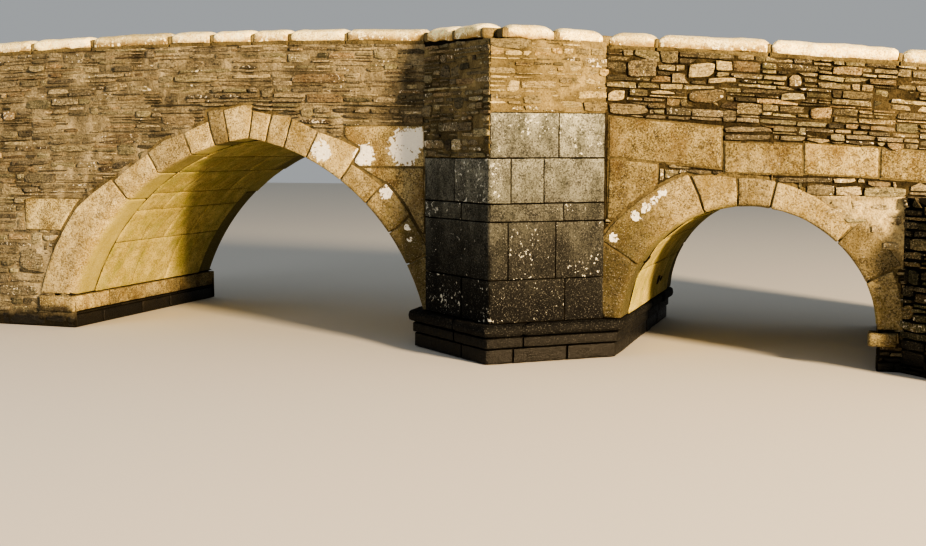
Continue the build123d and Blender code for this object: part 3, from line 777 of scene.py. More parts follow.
# Rounded granite, crusted with lichen: nearly white, brown and mottled low down and at its ends.
coping_granite = granite_finish(
    "rounded_granite_white", "#f3e2a6", "#fff5c6", "#a8926a", "#c9a95e", 0.40, "#fff6cf", 0.98, DRY,
    tinge="#86683a",
)
# Axed granite, damp: flat grey faces that darken to green-black towards the water, partly from damp
# and partly as painted shadow.
pier_granite = granite_finish(
    "axed_granite_damp_and_shaded", "#86867a", "#b7b8a6", "#262825", "#424538", 0.65, "#c6c6ba", 1.08, 0.42,
    (0.55, 2.75, 0.20),
)
# Axed granite, rain-stained: golden brown, with paler, bleached patches.
haunch_granite = granite_finish(
    "axed_granite_brown", "#80724c", "#baab7e", "#3a3324", "#6a5430", 0.60, CRUST, 1.07, DRY,
)
# Pointed granite, sheltered: smooth to the eye, and golden with a film of algae.
soffit_granite = granite_finish(
    "pointed_granite_golden", "#b5a462", "#d2c283", "#77703e", "#858a42", 0.55, "#d8d0a4", 1.25,
    DRY,
)
# Axed granite, wet: almost black, with the water's dull gloss.
wet_granite = granite_finish(
    "axed_granite_wet", "#40382a", "#5c5038", "#1c1a12", "#2a2616", 0.50, "#8a8060", 1.25, 0.60,
)
# Split slate, rough from the quarry: fine lines along the bed, dull browns and olives.
rubble_slate = slate_finish(
    "split_slate_brown",
    ("#7a7058", "#8d8266", "#7f765b", "#9a8e6e", "#777455", "#a69975", "#8c7553", "#938867"), 0.24,
)
# The same slate with more iron: russet stones among the brown, dotted with pale lichen.
parapet_slate = slate_finish(
    "split_slate_russet",
    ("#6a6046", "#8a7d58", "#5d563e", "#9d8f67", "#6b6747", "#ab9c72", "#826b48", "#7a7050"), 0.24,
    light=1.4, rust=0.4,
)
# The same slate, smeared with lime: pale, its courses half lost.
limed_slate = slate_finish(
    "split_slate_limed",
    ("#8c7e58", "#a2936a", "#857752", "#b0a177", "#958860", "#bfb185", "#9c8252", "#a5976d"), 0.24,
)
# The same slate, mossy and darkened as painted shade: dark green-browns.
dark_slate = slate_finish(
    "split_slate_mossy_and_shaded", ("#4c4632", "#5e553a", "#3e3b2b", "#6a5d40", "#4e5033", "#6e5c38"), 0.50,
)
# Lime mortar: rubbed grey-brown over the walls, thrown pale on the haunch, pointed brown in the
# joints, raked out, dirty and darkened as painted shade where they are deep, washed and dark by the
# water.
lime_mortar = mortar_finish("rubbed_lime_mortar_grey", "#968a6c", "#b8ab8a", "#544b38", DRY)
pale_mortar = mortar_finish("thrown_lime_mortar_pale", "#a39470", "#c4b78f", "#5e5238", DRY)
joint_mortar = mortar_finish("pointed_lime_mortar_brown", "#7d7050", "#988a64", "#3e3523", DRY)
deep_mortar = mortar_finish("raked_lime_mortar_dirty_and_shaded", "#4c432e", "#685c42", "#262015", DRY)
damp_mortar = mortar_finish("washed_lime_mortar_damp", "#423d2e", "#5a533d", "#1e1b14", 0.5)
# Rolled gravel: grey, matt and sandy.
road_gravel = mortar_finish("rolled_gravel", "#8c8470", "#a49c86", "#5c5644", DRY)


pieces = {}
# Name of each face, its sign of Y, and how much coarser the back's unseen stones are meshed
SIDES = (("front", -1, 1.0), ("back", 1, 1.5))


def piece(name):
    return pieces.setdefault(name, Piece(name))


# Stones of the front wall that the eye picks out: west, east, bottom, top, tint and shade
FEATURE_STONES = (
    (2.240, 2.545, 3.000, 3.205, 0.05, 0.70),
    (2.870, 3.150, 2.985, 3.150, 0.68, 0.85),
    (2.030, 2.220, 2.755, 2.880, 0.70, 1.15),
    (2.040, 2.455, 2.612, 2.740, 0.93, 0.60),
    (2.875, 3.255, 2.720, 2.865, 0.90, 0.45),
    (3.070, 3.360, 2.920, 2.985, 0.70, 0.90),
    (3.885, 4.030, 2.880, 3.010, 0.75, 0.70),
    (3.810, 4.055, 2.740, 2.830, 0.60, 0.95),
    (4.110, 4.325, 2.550, 2.675, 0.85, 0.85),
    (3.262, 3.740, 2.415, 2.485, 0.12, 0.50),
    (3.262, 3.740, 2.338, 2.405, 0.12, 0.35),
    (3.800, 4.345, 1.900, 1.964, 0.28, 0.35),
    (4.360, 4.577, 1.905, 1.964, 0.70, 1.25),
    (4.090, 4.375, 1.775, 1.890, 0.40, 0.50),
    (4.385, 4.640, 1.772, 1.880, 0.70, 1.30),
    (4.655, 5.060, 1.770, 1.878, 0.60, 0.70),
    (4.300, 4.450, 1.600, 1.665, 0.70, 0.95),
    (4.470, 4.700, 1.500, 1.560, 0.58, 0.80),
    (4.740, 4.960, 1.630, 1.710, 0.45, 0.95),
    (4.540, 4.640, 1.640, 1.735, 0.70, 1.10),
    (4.730, 4.880, 1.400, 1.500, 0.70, 0.75),
    (4.900, 5.030, 1.480, 1.590, 0.33, 0.85),
    (4.840, 5.020, 1.230, 1.320, 0.70, 0.80),
    (-5.590, -5.235, 0.720, 1.000, 0.30, 0.70),
    (-5.410, -5.245, 1.015, 1.205, 0.65, 1.00),
    (-5.930, -5.330, 0.370, 0.520, 0.10, 0.60),
)
# Rough mortar over the east haunch: west, east, bottom, top
PATCH = (4.120, 5.055, 1.150, 1.768)
# Smeared mortar by the west ring's foot: X, Z and reach
SMEAR = (-4.60, 1.90, 0.55)


def block_edges(block):
    (from_x, from_z), (west, length, west_bottom, west_top, east_bottom, east_top) = block
    start = from_x + west
    bottom = (from_z + west_bottom, from_z + east_bottom)
    top = (from_z + west_top, from_z + east_top)
    return start, start + length, bottom, top


def in_block(u, v, margin):
    found = np.zeros(np.shape(u), bool)
    for block in GRANITE_BLOCKS:
        start, end, bottom, top = block_edges(block)
        low = np.interp(u, (start, end), bottom) - margin
        high = np.interp(u, (start, end), top) + margin
        found |= (u > start - margin) & (u < end + margin) & (v > low) & (v < high)
    return found


def in_feature(u, v, margin):
    found = np.zeros(np.shape(u), bool)
    for west, east, bottom, top, _, _ in FEATURE_STONES:
        beside = (u > west - margin) & (u < east + margin)
        found |= beside & (v > bottom - margin) & (v < top + margin)
    return found


def in_patch(u, v):
    west, east, bottom, top = PATCH
    return (u > west) & (u < east) & (v > bottom) & (v < top)


def in_openings(u, v, margin):
    return west_arch.covers(u, v, margin) | east_arch.covers(u, v, margin)


RING_GAP = 0.006  # room left between slates and the ring stones
BLOCK_GAP = 0.012  # the same round the granite blocks
FEATURE_GAP = 0.006  # the same round the stones that are placed one by one


def free_outside(u, v):
    """Where slates may lie on either long face, past the arches, blocks and cutwater."""
    taken = in_openings(u, v, RING_GAP) | in_block(u, v, BLOCK_GAP)
    taken |= (u > CUTWATER_WEST - 0.004) & (u < CUTWATER_EAST + 0.004)
    return ~taken & (v < wall_top(u) + 0.010) & (v > 0)


def free_front(u, v):
    return free_outside(u, v) & ~in_feature(u, v, FEATURE_GAP) & ~in_patch(u, v)


LEVEL_BELOW = 1.2
GRADED_ABOVE = 3.2


def graded(u, v):
    """Courses lie level low in the wall and follow the coping's grade near its top."""
    share = np.clip((v - LEVEL_BELOW) / (GRADED_ABOVE - LEVEL_BELOW), 0, 1)
    return u, v + share * (wall_top(u) - wall_top(CREST_X))


# The hood of slates over the west ring: its run along the soffit, its reach and its overhang
HOOD_RUN = (2.6, 5.1)
HOOD_REACH = 0.62
HOOD_PROUD = 0.018


def outside_proud(u, v):
    """How far slates stand out: more over the west ring, whose extrados they shelter."""
    out = 0.028 + 0.008 * rng.standard_normal()
    along, depth = west_arch.locate(np.array([u]), np.array([v]))
    if HOOD_RUN[0] < along[0] < HOOD_RUN[1] and depth[0] < HOOD_REACH and v > SPRINGING:
        out += HOOD_PROUD
    return float(np.clip(out, 0.014, 0.055))


def long_face(side):
    """Names the piece that a slate of a long face belongs to."""

    def target(u, v):
        half = "west" if u < CUTWATER_NOSE_X else "east"
        if v < SPRINGING:
            if CUTWATER_WEST - 0.2 < u < CUTWATER_EAST + 0.2:
                return None
            return piece(f"{half}_abutment_slates_{side}")
        part = "spandrel" if v < road_top(u) else "parapet"
        return piece(f"{half}_{part}_slates_{side}")

    return target


def west_course(v):
    return 0.060 if v > 1.6 else 0.078


def east_course(v):
    return 0.068


WALL_HEIGHT = wall_top(CREST_X)
for side, place, free, coarser, pitch in (
    ("front", front_wall, free_front, 1.0, (0.050, 0.027)),
    ("back", back_wall, free_outside, 1.4, (0.085, 0.045)),
):
    for start, end, course, stone, joint, shape in (
        (-HALF_LENGTH, CUTWATER_WEST, west_course, 0.31, 0.011, {}),
        (CUTWATER_EAST, HALF_LENGTH, east_course, 0.25, 0.005, {"rounding": 0.009, "ragged": 0.45}),
    ):
        stones = lay_rubble(
            end - start, WALL_HEIGHT, lambda v: coarser * course(v), coarser * stone,
        )
        fill_wall(
            long_face(side), place, start, stones, free, graded, outside_proud, joint,
            pitch=pitch, **shape,
        )

FEATURE_ROUGHNESS = (((0.13, 0.08, 0.09), 0.010), ((0.075, 0.05, 0.06), 0.007))
for west, east, bottom, top, tint, shade in FEATURE_STONES:
    heights, ends = np.linspace(bottom, top, 3), np.array([(west, east)] * 3)
    points, faces, behind = lay_slate(
        heights, ends, level, front_wall, 0.031, (0.03, 0.024), 0.013, FEATURE_ROUGHNESS,
    )
    laid_in = long_face("front")((west + east) / 2, (bottom + top) / 2)
    laid_in.add(
        points, faces, with_dirt_and_shade((tint, shade, 0.22), behind), flip=face_turns(front_wall),
    )


def inside_proud(u, v):
    return float(np.clip(0.024 + 0.007 * rng.standard_normal(), 0.010, 0.042))


def free_inside(u, v):
    return (v > road_top(u) - 0.02) & (v < wall_top(u) + 0.004)


def on_grade(u, v):
    return u, v + wall_top(u) - WALL_HEIGHT


def inner_face(side):
    def target(u, v):
        half = "west" if u < CUTWATER_NOSE_X else "east"
        return piece(f"{half}_parapet_slates_{side}_inside")

    return target


LEG_LENGTH = math.hypot(CUTWATER_NOSE_X - CUTWATER_WEST, CUTWATER_PROJECTION)
LEG_X = (CUTWATER_NOSE_X - CUTWATER_WEST) / LEG_LENGTH
LEG_Y = CUTWATER_PROJECTION / LEG_LENGTH
REFUGE_SLOPE = LEG_X / LEG_Y
REFUGE_INSET = REFUGE_WALL / LEG_Y - (WALL_FACE - INNER_FACE) * REFUGE_SLOPE
COARSE = (0.12, 0.05)  # mesh of slates that the photo's side doesn't show
INSIDE_FOOT = WALL_HEIGHT - 0.74  # the inner faces start a little below the road


def raised(stones, height):
    """The same stones, laid from a height on."""
    return [(u0, u1, v0 + height, v1 + height) for u0, u1, v0, v1 in stones]


for side, place in (("front", front_inside), ("back", back_inside)):
    for start, end in (
        (-HALF_LENGTH, CUTWATER_WEST + REFUGE_INSET), (CUTWATER_EAST - REFUGE_INSET, HALF_LENGTH),
    ):
        stones = raised(lay_rubble(end - start, 0.75, lambda v: 0.090, 0.38), INSIDE_FOOT)
        fill_wall(
            inner_face(side), place, start, stones, free_inside, on_grade, inside_proud,
            pitch=COARSE,
        )

# Ends of the walls and of the fill between them
for half, place, x in (("west", west_end, -HALF_LENGTH), ("east", east_end, HALF_LENGTH)):
    crown, road = wall_top(x), road_top(x)

    def free_end(u, v):
        top = np.where(np.abs(u) < INNER_FACE, road - 0.01, crown)
        return (v > 0) & (v < top) & (np.abs(u) < WALL_FACE + 0.014)

    def end_target(u, v):
        return piece(f"{half}_end_slates")

    stones = lay_rubble(2 * WALL_FACE + 0.02, crown, lambda v: 0.11, 0.38)
    fill_wall(
        end_target, place, -WALL_FACE - 0.01, stones, free_end, level,
        lambda u, v: float(rng.uniform(0.010, 0.015)), pitch=COARSE,
    )


def refuge_rise(u, v, bump):
    return 0.003 + 0.014 * np.clip(1.8 * bump - 0.65, 0, 1)


# Refuges: outer faces over the cutwater and inner faces round the niche
COURSE_TOPS = SPRINGING + np.concatenate([[0], np.cumsum(COURSE_HEIGHTS)]) * (
    (CUTWATER_TOP - SPRINGING) / sum(COURSE_HEIGHTS)
)
for side, sign, _ in SIDES:
    nose = (CUTWATER_NOSE_X, sign * (WALL_FACE + CUTWATER_PROJECTION))
    west_foot, east_foot = (CUTWATER_WEST, sign * WALL_FACE), (CUTWATER_EAST, sign * WALL_FACE)
    inner_nose = (CUTWATER_NOSE_X, sign * (WALL_FACE + CUTWATER_PROJECTION - REFUGE_WALL / LEG_X))
    inner_west = (CUTWATER_WEST + REFUGE_INSET, sign * INNER_FACE)
    inner_east = (CUTWATER_EAST - REFUGE_INSET, sign * INNER_FACE)
    for start, end, half, outside in (
        (west_foot, nose, "west", True), (nose, east_foot, "east", True),
        (inner_nose, inner_west, "west", False), (inner_east, inner_nose, "east", False),
    ):
        place, length = leaning_wall(*((start, end) if sign < 0 else (end, start)))
        nose_top = wall_top(CUTWATER_NOSE_X)
        low = CUTWATER_TOP if outside else road_top(CUTWATER_NOSE_X)
        if outside and half == "west":
            # The cutwater's top course is of slate on this face.
            low = COURSE_TOPS[-2]

        # Outer faces run on past the corners, so that their proud slates meet at the nose.
        past = 0.018 if outside else 0.0

        def free_leg(u, v):
            return (v > low) & (v < nose_top + 0.03) & (u > -past) & (u < length + past)

        def leg_target(u, v):
            return piece(f"refuge_wall_{side}_{half}_slates" + ("" if outside else "_inside"))

        if outside and side == "front":
            made = Piece(f"refuge_mortar_{half}")
            skin(
                made, place, (0.003, length - 0.003), (low, nose_top), lambda u, v: v > 0,
                refuge_rise, 3.0,
            )
            made.build(joint_mortar, "slate_rubble")
        thick, long, pitch = (0.068, 0.23, (0.04, 0.024)) if outside else (0.085, 0.32, COARSE)
        stones = lay_rubble(length + 2 * past, nose_top + 0.02 - low, lambda v: thick, long)
        fill_wall(
            leg_target, place, -past, raised(stones, low), free_leg, level, inside_proud,
            pitch=pitch,
        )


# Buttress: two faces of dark slates, long and ragged
def buttress_proud(u, v):
    return float(np.clip(0.034 + 0.018 * rng.standard_normal(), 0.014, 0.070))


butt_nose = (BUTTRESS_START + BUTTRESS_WIDTH / 2, -WALL_FACE - BUTTRESS_PROJECTION)
butt_west = (BUTTRESS_START, -WALL_FACE)
butt_east = (BUTTRESS_START + BUTTRESS_WIDTH, -WALL_FACE)
for start, end in ((butt_west, butt_nose), (butt_nose, butt_east)):
    place, length = leaning_wall(start, end)

    def buttress_free(u, v):
        out = u / length if start is butt_west else 1 - u / length
        top = BUTTRESS_WALL_TOP + out * (BUTTRESS_NOSE_TOP - BUTTRESS_WALL_TOP)
        return (v > 0) & (v < top) & (u > 0.0) & (u < length)

    stones = lay_rubble(length, BUTTRESS_WALL_TOP, lambda v: 0.080, 0.22)
    fill_wall(
        lambda u, v: piece("buttress_slates"), place, 0.0, stones, buttress_free, level,
        buttress_proud, 0.005, rounding=0.014,
    )

for name, made in pieces.items():
    finish = dark_slate if "buttress" in name else rubble_slate
    if name.startswith("east_parapet"):
        finish = parapet_slate
    elif name.startswith(("refuge_wall_front_east", "refuge_wall_back_west")):
        finish = limed_slate
    made.build(finish, "slate_rubble")


# Mortar rubbed over the west wall, thickest round its ring's foot; the east wall's lies deeper
# in the joints, but for a rough patch over the haunch
def beyond_granite(u, v):
    """Where a wall's skin of mortar shows: it ends behind the ring stones and blocks."""
    past = np.where(v > SPRINGING - 0.05, 0.30, 0.0)
    by_feet = (u > west_arch.feet[0] - past) & (u < east_arch.feet[1] + past)
    below = (v < SPRINGING + 0.20) & by_feet
    return ~in_openings(u, v, -0.12) & ~below & (v < wall_top(u) - 0.02)


def under_granite(u, v, ring_margin=0.004):
    """Where a skin of mortar thins out under the ring stones and blocks."""
    return in_openings(u, v, ring_margin) | in_block(u, v, 0.004)


def mortar_rise(u, v, bump):
    reach = np.hypot(u - SMEAR[0], v - SMEAR[1]) / SMEAR[2]
    smear = np.clip(1.4 - reach, 0, 1)
    full = 0.001 + 0.017 * np.clip(1.9 * bump - 0.62, 0, 1) + 0.016 * smear * bump
    return np.where(under_granite(u, v), 0.004, full)


def joint_rise(u, v, bump):
    full = 0.002 + 0.013 * np.clip(1.8 * bump - 0.6, 0, 1)
    return np.where(under_granite(u, v), 0.002, full)


def patch_rise(u, v, bump):
    lumps = 0.5 + 0.5 * noise(on_plan(u, v), (0.10, 0.06, 1), 3.0)
    chips = 0.5 + 0.5 * noise(on_plan(u, v), (0.055, 0.045, 1), 9.0)
    full = 0.002 + 0.006 * bump + 0.012 * lumps + 0.016 * chips
    return np.where(under_granite(u, v, 0.030), 0.008, full)


for side, place, pitch in (("front", front_wall, 0.045), ("back", back_wall, 0.08)):
    for half, ends, rise, mortar in (
        ("west", (-HALF_LENGTH + 0.01, CUTWATER_WEST), mortar_rise, lime_mortar),
        ("east", (CUTWATER_EAST, HALF_LENGTH - 0.01), joint_rise, deep_mortar),
    ):
        made = Piece(f"{half}_wall_mortar_{side}")
        skin(
            made, place, ends, (0.002, 1.0), beyond_granite, rise, 31.0,
            pitch=pitch, warp=lambda u, v: (u, v * (wall_top(u) - 0.012)),
        )
        made.build(mortar, "slate_rubble")
made = Piece("haunch_mortar_patch")
skin(
    made, front_wall, PATCH[:2], (PATCH[2] - 0.1, PATCH[3] + 0.01), beyond_granite, patch_rise, 8.0,
    pitch=0.022,
)
made.build(pale_mortar, "slate_rubble")


def stone_shade(lichen=0.0):
    """A dressed stone's own tint, shade and lichen."""
    return rng.random(), float(np.clip(0.62 + 0.16 * rng.standard_normal(), 0.2, 1)), lichen


def rough_stone(size, pitch, rounding, roughness):
    """A rough block whose unevenness no other stone has."""
    return rough_block(size, pitch, rounding, float(rng.uniform(0, 900)), roughness)


def stones_along(lengths, start, end):
    marks = np.concatenate([[0], np.cumsum(lengths)])
    return start + marks / marks[-1] * (end - start)


# How each kind of stone and mortar is left: lump size and height of its unevenness
POINTED = ((0.22, 0.005), (0.08, 0.005), (0.055, 0.002))
AXED = ((0.22, 0.006), (0.09, 0.007))
SOFT = ((0.25, 0.003), (0.12, 0.003))
ROUGH_COPING = ((0.26, 0.018), (0.09, 0.010), (0.05, 0.004))
BEDDING = (((0.16, 0.2, 0.1), 0.012), ((0.07, 0.1, 0.05), 0.007))
TROWELLED = ((0.1, 0.002),)
PLAIN = (0.5, 0.5, 0)  # look of a mortar bed


def wear_arris(depth, behind, radius):
    """Rounds the arris between a ring's face and its soffit to a radius."""
    corner_depth, corner_behind = radius - depth, radius - behind
    far = np.hypot(np.maximum(corner_depth, 0), np.maximum(corner_behind, 0))
    worn = (corner_depth > 0) & (corner_behind > 0) & (far > radius)
    pull = np.where(worn, radius / np.maximum(far, 1e-9), 1.0)
    return (np.where(worn, radius - corner_depth * pull, depth),
            np.where(worn, radius - corner_behind * pull, behind))


RING_JOINT = 0.007
HALF_JOINT = 0.003
SOFFIT_PROUD = 0.014
WEST_WEAR = (0.17, 0.10, 0.07, 0.05, 0.04, 0.04, 0.04, 0.04, 0.05, 0.05, 0.05, 0.06, 0.06, 0.06)
EAST_WEAR = (0.10, 0.13, 0.12, 0.10, 0.06, 0.05, 0.05)


def shadow_and_damp_by_pier(points):
    """Painted shadow of the cutwater, with some damp: how much the granite beside the pier is
    darkened, most near it and low down.
    """
    near = np.clip((1.85 - np.abs(points[:, 0] - CUTWATER_NOSE_X)) / 0.40, 0, 1)
    low = np.clip((2.40 - points[:, 2]) / 1.20, 0, 1)
    return near * low


def ring_piece(name, arch, wear, sign, detail, replaced):
    """Ring of wedge stones on one face, a little proud of the wall and the soffit."""
    made = Piece(name)
    pitch = (0.028 * detail, 0.055 * detail, 0.028 * detail)
    bends = rng.uniform(-1, 1, (len(arch.joints), 2)) * (0.05, 0.010)
    bends[0] = bends[-1] = 0
    for number, depths in enumerate(arch.depths):
        proud = float(np.clip(0.023 + 0.004 * rng.standard_normal(), 0.019, 0.032))
        start, end = arch.joints[number], arch.joints[number + 1]
        size = (end - start - RING_JOINT, WALL_FACE - INNER_FACE + proud, float(np.mean(depths)))
        points, faces = rough_stone(size, pitch, 0.016, POINTED)
        across, up = points[:, 0] / size[0], points[:, 2] / size[2]
        depth = up * np.interp(across, np.linspace(0, 1, len(depths)), depths)
        face_depth, face_behind = depth, points[:, 1]
        depth, behind = wear_arris(depth, points[:, 1], wear[number])
        edges = []
        for joint, (tilt, curve), gap in (
            (start, bends[number], 0.5), (end, bends[number + 1], -0.5),
        ):
            if joint in (arch.joints[0], arch.joints[-1]):
                joint = arch.springing_at(depth, joint == 0)
            bend = tilt * depth + curve * np.sin(math.pi * depth / 0.35)
            edges.append(joint + gap * RING_JOINT + bend)
        along = edges[0] + across * (edges[1] - edges[0])
        x, z = arch.place(along, depth - SOFFIT_PROUD)
        placed = np.stack([x, sign * (WALL_FACE + proud - behind), z], -1)
        # Dirt and painted shade lie in the joints; algae on the soffit, past the worn arris
        _, shade, lichen = stone_shade()
        in_joint = np.where(face_depth > wear[number] + 0.03, face_behind, 0)
        under = np.clip((face_behind - 0.4 * face_depth + 0.02) / 0.16, 0, 1)
        under = under * (face_depth < 0.2)
        look = with_lichen(placed, with_dirt_and_shade((under, shade, lichen), in_joint, 0.4))
        # Painted shadow of the cutwater, with some damp, darkens and tints the stones by the pier;
        # all stones also darken towards the feet.
        damp_and_shade = shadow_and_damp_by_pier(placed)
        look[:, 0] = np.maximum(look[:, 0], 0.35 * damp_and_shade)
        low = np.clip((1.7 - placed[:, 2]) / 1.2, 0, 1)
        look[:, 1] *= (1 - 0.72 * damp_and_shade) * (1 - 0.30 * low)
        made.add(placed, faces, look, flip=sign > 0)
    made.build(ring_granite, "granite", replaced)
    bed = Piece(name + "_mortar")
    size = (arch.length, WALL_FACE - INNER_FACE - 0.01, 1.0)
    points, faces = rough_block(size, (0.06, 0.10, 0.12), 0.003, 5.0, TROWELLED)
    beside = arch.depth_of(points[:, 0] - 0.03), arch.depth_of(points[:, 0] + 0.03)
    depth = 0.008 + points[:, 2] * (np.maximum(*beside) + 0.012 - 0.008)
    middles = (arch.joints[1:] + arch.joints[:-1]) / 2
    worn = np.interp(points[:, 0], middles, wear) + 0.03
    depth, behind = wear_arris(depth, points[:, 1], worn)
    x, z = arch.place(points[:, 0], depth)
    placed = np.stack([x, sign * (WALL_FACE + 0.006 - behind), z], -1)
    bed.add(placed, faces, PLAIN, flip=sign > 0)
    bed.build(joint_mortar, "granite")


for side, sign, detail in SIDES:
    ring_piece(f"west_ring_stones_{side}", west_arch, WEST_WEAR, sign, detail, f"west_ring_{side}")
    ring_piece(f"east_ring_stones_{side}", east_arch, EAST_WEAR, sign, detail, f"east_ring_{side}")


def barrel_piece(name, arch, widths):
    """Soffit stones between the two rings, laid in courses with broken joints."""
    made = Piece(name)
    marks = stones_along(widths, 0.0, arch.length)
    for number, (start, end) in enumerate(zip(marks, marks[1:])):
        lengths = (0.80, 0.82, 0.45, 0.49) if number == 0 else rng.uniform(0.45, 0.95, 4)
        cuts = stones_along(lengths, -INNER_FACE, INNER_FACE)
        for near, far in zip(cuts, cuts[1:]):
            proud = float(rng.uniform(0.021, 0.025))
            size = (end - start - 2 * HALF_JOINT, far - near - 2 * HALF_JOINT, 0.06)
            points, faces = rough_stone(size, (0.08, 0.08, 0.06), 0.010, SOFT)
            x, z = arch.place(start + HALF_JOINT + points[:, 0], points[:, 2] - proud)
            placed = np.stack([x, near + HALF_JOINT + points[:, 1], z], -1)
            look = rng.random(), float(rng.uniform(0.52, 0.68)), 0.0
            made.add(placed, faces, with_dirt_and_shade(look, points[:, 2], 0.4))
    made.build(soffit_granite, "granite")


barrel_piece("west_soffit_stones", west_arch, (
    0.71, 0.53, 0.32, 0.46, 0.42, 0.47, 0.40, 0.50, 0.44, 0.48, 0.42, 0.50, 0.71,
))
barrel_piece("east_soffit_stones", east_arch, (
    0.52, 0.44, 0.40, 0.48, 0.42, 0.38, 0.45, 0.42, 0.50,
))


def block_ends(block, margin):
    """Shares of a block's length that the ring leaves it at each of nine heights."""
    start, end, bottom, top = block_edges(block)
    across = np.linspace(0, 1, 120)
    ends = []
    for up in np.linspace(1, 0, 9):
        x = start + across * (end - start)
        low = bottom[0] + across * (bottom[1] - bottom[0])
        high = top[0] + across * (top[1] - top[0])
        free = runs(~in_openings(x, low + up * (high - low), margin))
        if free:
            first, last = max(free, key=lambda run: run[1] - run[0])
            ends.append((across[first], across[last]))
        else:
            middle = sum(ends[-1]) / 2
            ends.append((middle, middle))
    return np.array(ends[::-1])


def granite_block(made, block, sign, proud, margin, grown, look, rounding, roughness, pitch):
    """One block of the walls, cut to the ring below it and grown by a margin all round."""
    start, end, bottom, top = block_edges(block)
    ends = block_ends(block, margin)
    wide = float((ends[:, 1] - ends[:, 0]).mean()) * (end - start)
    size = (wide, GRANITE_DEPTH + proud, (top[0] - bottom[0] + top[1] - bottom[1]) / 2)
    points, faces = rough_stone(size, (pitch, 0.09, pitch), rounding, roughness)
    across, up = points[:, 0] / size[0], points[:, 2] / size[2]
    levels = np.linspace(0, 1, len(ends))
    west, east = np.interp(up, levels, ends[:, 0]), np.interp(up, levels, ends[:, 1])
    share = west + across * (east - west)
    low = bottom[0] + share * (bottom[1] - bottom[0]) - grown
    high = top[0] + share * (top[1] - top[0]) + grown
    x = start + share * (end - start) + grown * (2 * across - 1)
    y = sign * (WALL_FACE + proud - points[:, 1])
    placed = np.stack([x, y, low + up * (high - low)], -1)
    look = with_lichen(placed, with_dirt_and_shade(look, points[:, 1], 0.4))
    # Painted shadow of the cutwater, with some damp, darkens the blocks by the pier.
    look[:, 1] *= 1 - 0.60 * shadow_and_damp_by_pier(placed)
    made.add(placed, faces, look, flip=sign > 0)


for side, sign, detail in SIDES:
    made, bed = Piece(f"granite_course_stones_{side}"), Piece(f"granite_course_mortar_{side}")
    for block in GRANITE_BLOCKS:
        proud = float(rng.uniform(0.019, 0.026))
        look = stone_shade()
        granite_block(made, block, sign, proud, 0.008, 0.0, look, 0.018, POINTED, 0.032 * detail)
        granite_block(bed, block, sign, 0.009, -0.010, 0.011, PLAIN, 0.003, TROWELLED, 0.15)
    made.build(haunch_granite, "granite", f"granite_course_{side}")
    bed.build(joint_mortar, "granite")


def nose_place(u, y, z, sign, out):
    """Points of a cutwater by their distance from its nose along the faces, west below zero."""
    nose_soft = np.sqrt(u**2 + 0.014**2)
    reach = WALL_FACE + CUTWATER_PROJECTION + out / LEG_X
    return np.stack([CUTWATER_NOSE_X + u * LEG_X, sign * (reach - nose_soft * LEG_Y - y), z], -1)


def nose_block(made, u0, u1, z0, z1, sign, out, depth, look,
               rounding=0.008, pitch=0.036, gap=0.0015):
    """A stone of the cutwater, which bends round the nose where it passes it."""
    size = (u1 - u0 - 2 * gap, depth, z1 - z0 - 0.002)
    points, faces = rough_stone(size, (pitch, 0.10, pitch), rounding, AXED)
    placed = nose_place(u0 + gap + points[:, 0], points[:, 1], z0 + points[:, 2], sign, out)
    look = with_lichen(placed, with_dirt_and_shade(look, points[:, 1], 0.3))
    made.add(placed, faces, look, flip=sign > 0)


COURSE_END = 1.336
# Joints of each course, as distances from the nose: below zero on the west face
COURSE_JOINTS = (
    (-COURSE_END, -0.560, 0.870, COURSE_END),
    (-COURSE_END, 0.210, 0.760, COURSE_END),
    (-COURSE_END, -0.560, 0.850, COURSE_END),
    (-COURSE_END, -0.700, 0.240, 0.620, COURSE_END),
    (0.0, 0.790, COURSE_END),
)
for side, sign, detail in SIDES:
    made = Piece(f"cutwater_stones_{side}")
    for bottom, top, joints in zip(COURSE_TOPS, COURSE_TOPS[1:], COURSE_JOINTS):
        for start, end in zip(joints, joints[1:]):
            out = 0.017 + 0.003 * float(rng.uniform(-1, 1))
            look = stone_shade(0.10 + rng.random() * 0.35)
            nose_block(made, start, end, bottom, top, sign, out, 0.20, look, pitch=0.036 * detail)
    made.build(pier_granite, "granite")


def base_course(name, bottom, top, proud, rounding, joints, replaced, gap=0.001):
    """A course of the pier's base: round both noses and along both sides under the arches.
    Its stones' rounded ends meet closely, as they would be cut on one mould."""
    made = Piece(name)
    spread_out = proud * LEG_LENGTH / CUTWATER_PROJECTION
    reach = LEG_LENGTH + spread_out / LEG_X
    for sign in (-1, 1):
        marks = [-reach, *joints, reach]
        for start, end in zip(marks, marks[1:]):
            nose_block(
                made, start, end, bottom, top, sign, proud, 0.75, stone_shade(), rounding, 0.045,
                gap,
            )
    deep = (CUTWATER_EAST - CUTWATER_WEST) / 2 + spread_out
    for face, x in ((-1, CUTWATER_WEST - spread_out), (1, CUTWATER_EAST + spread_out)):
        cuts = stones_along((0.8, 1.1, 0.7, 0.8), -WALL_FACE, WALL_FACE)
        for start, end in zip(cuts, cuts[1:]):
            size = (end - start - 2 * gap, deep, top - bottom - 0.002)
            points, faces = rough_stone(size, (0.045, 0.25, 0.045), rounding, AXED)
            y = start + gap + points[:, 0]
            placed = np.stack([x - face * points[:, 1], y, bottom + points[:, 2]], -1)
            made.add(placed, faces, with_dirt_and_shade(stone_shade(), points[:, 1]), flip=face < 0)
    made.build(pier_granite, "granite", replaced)


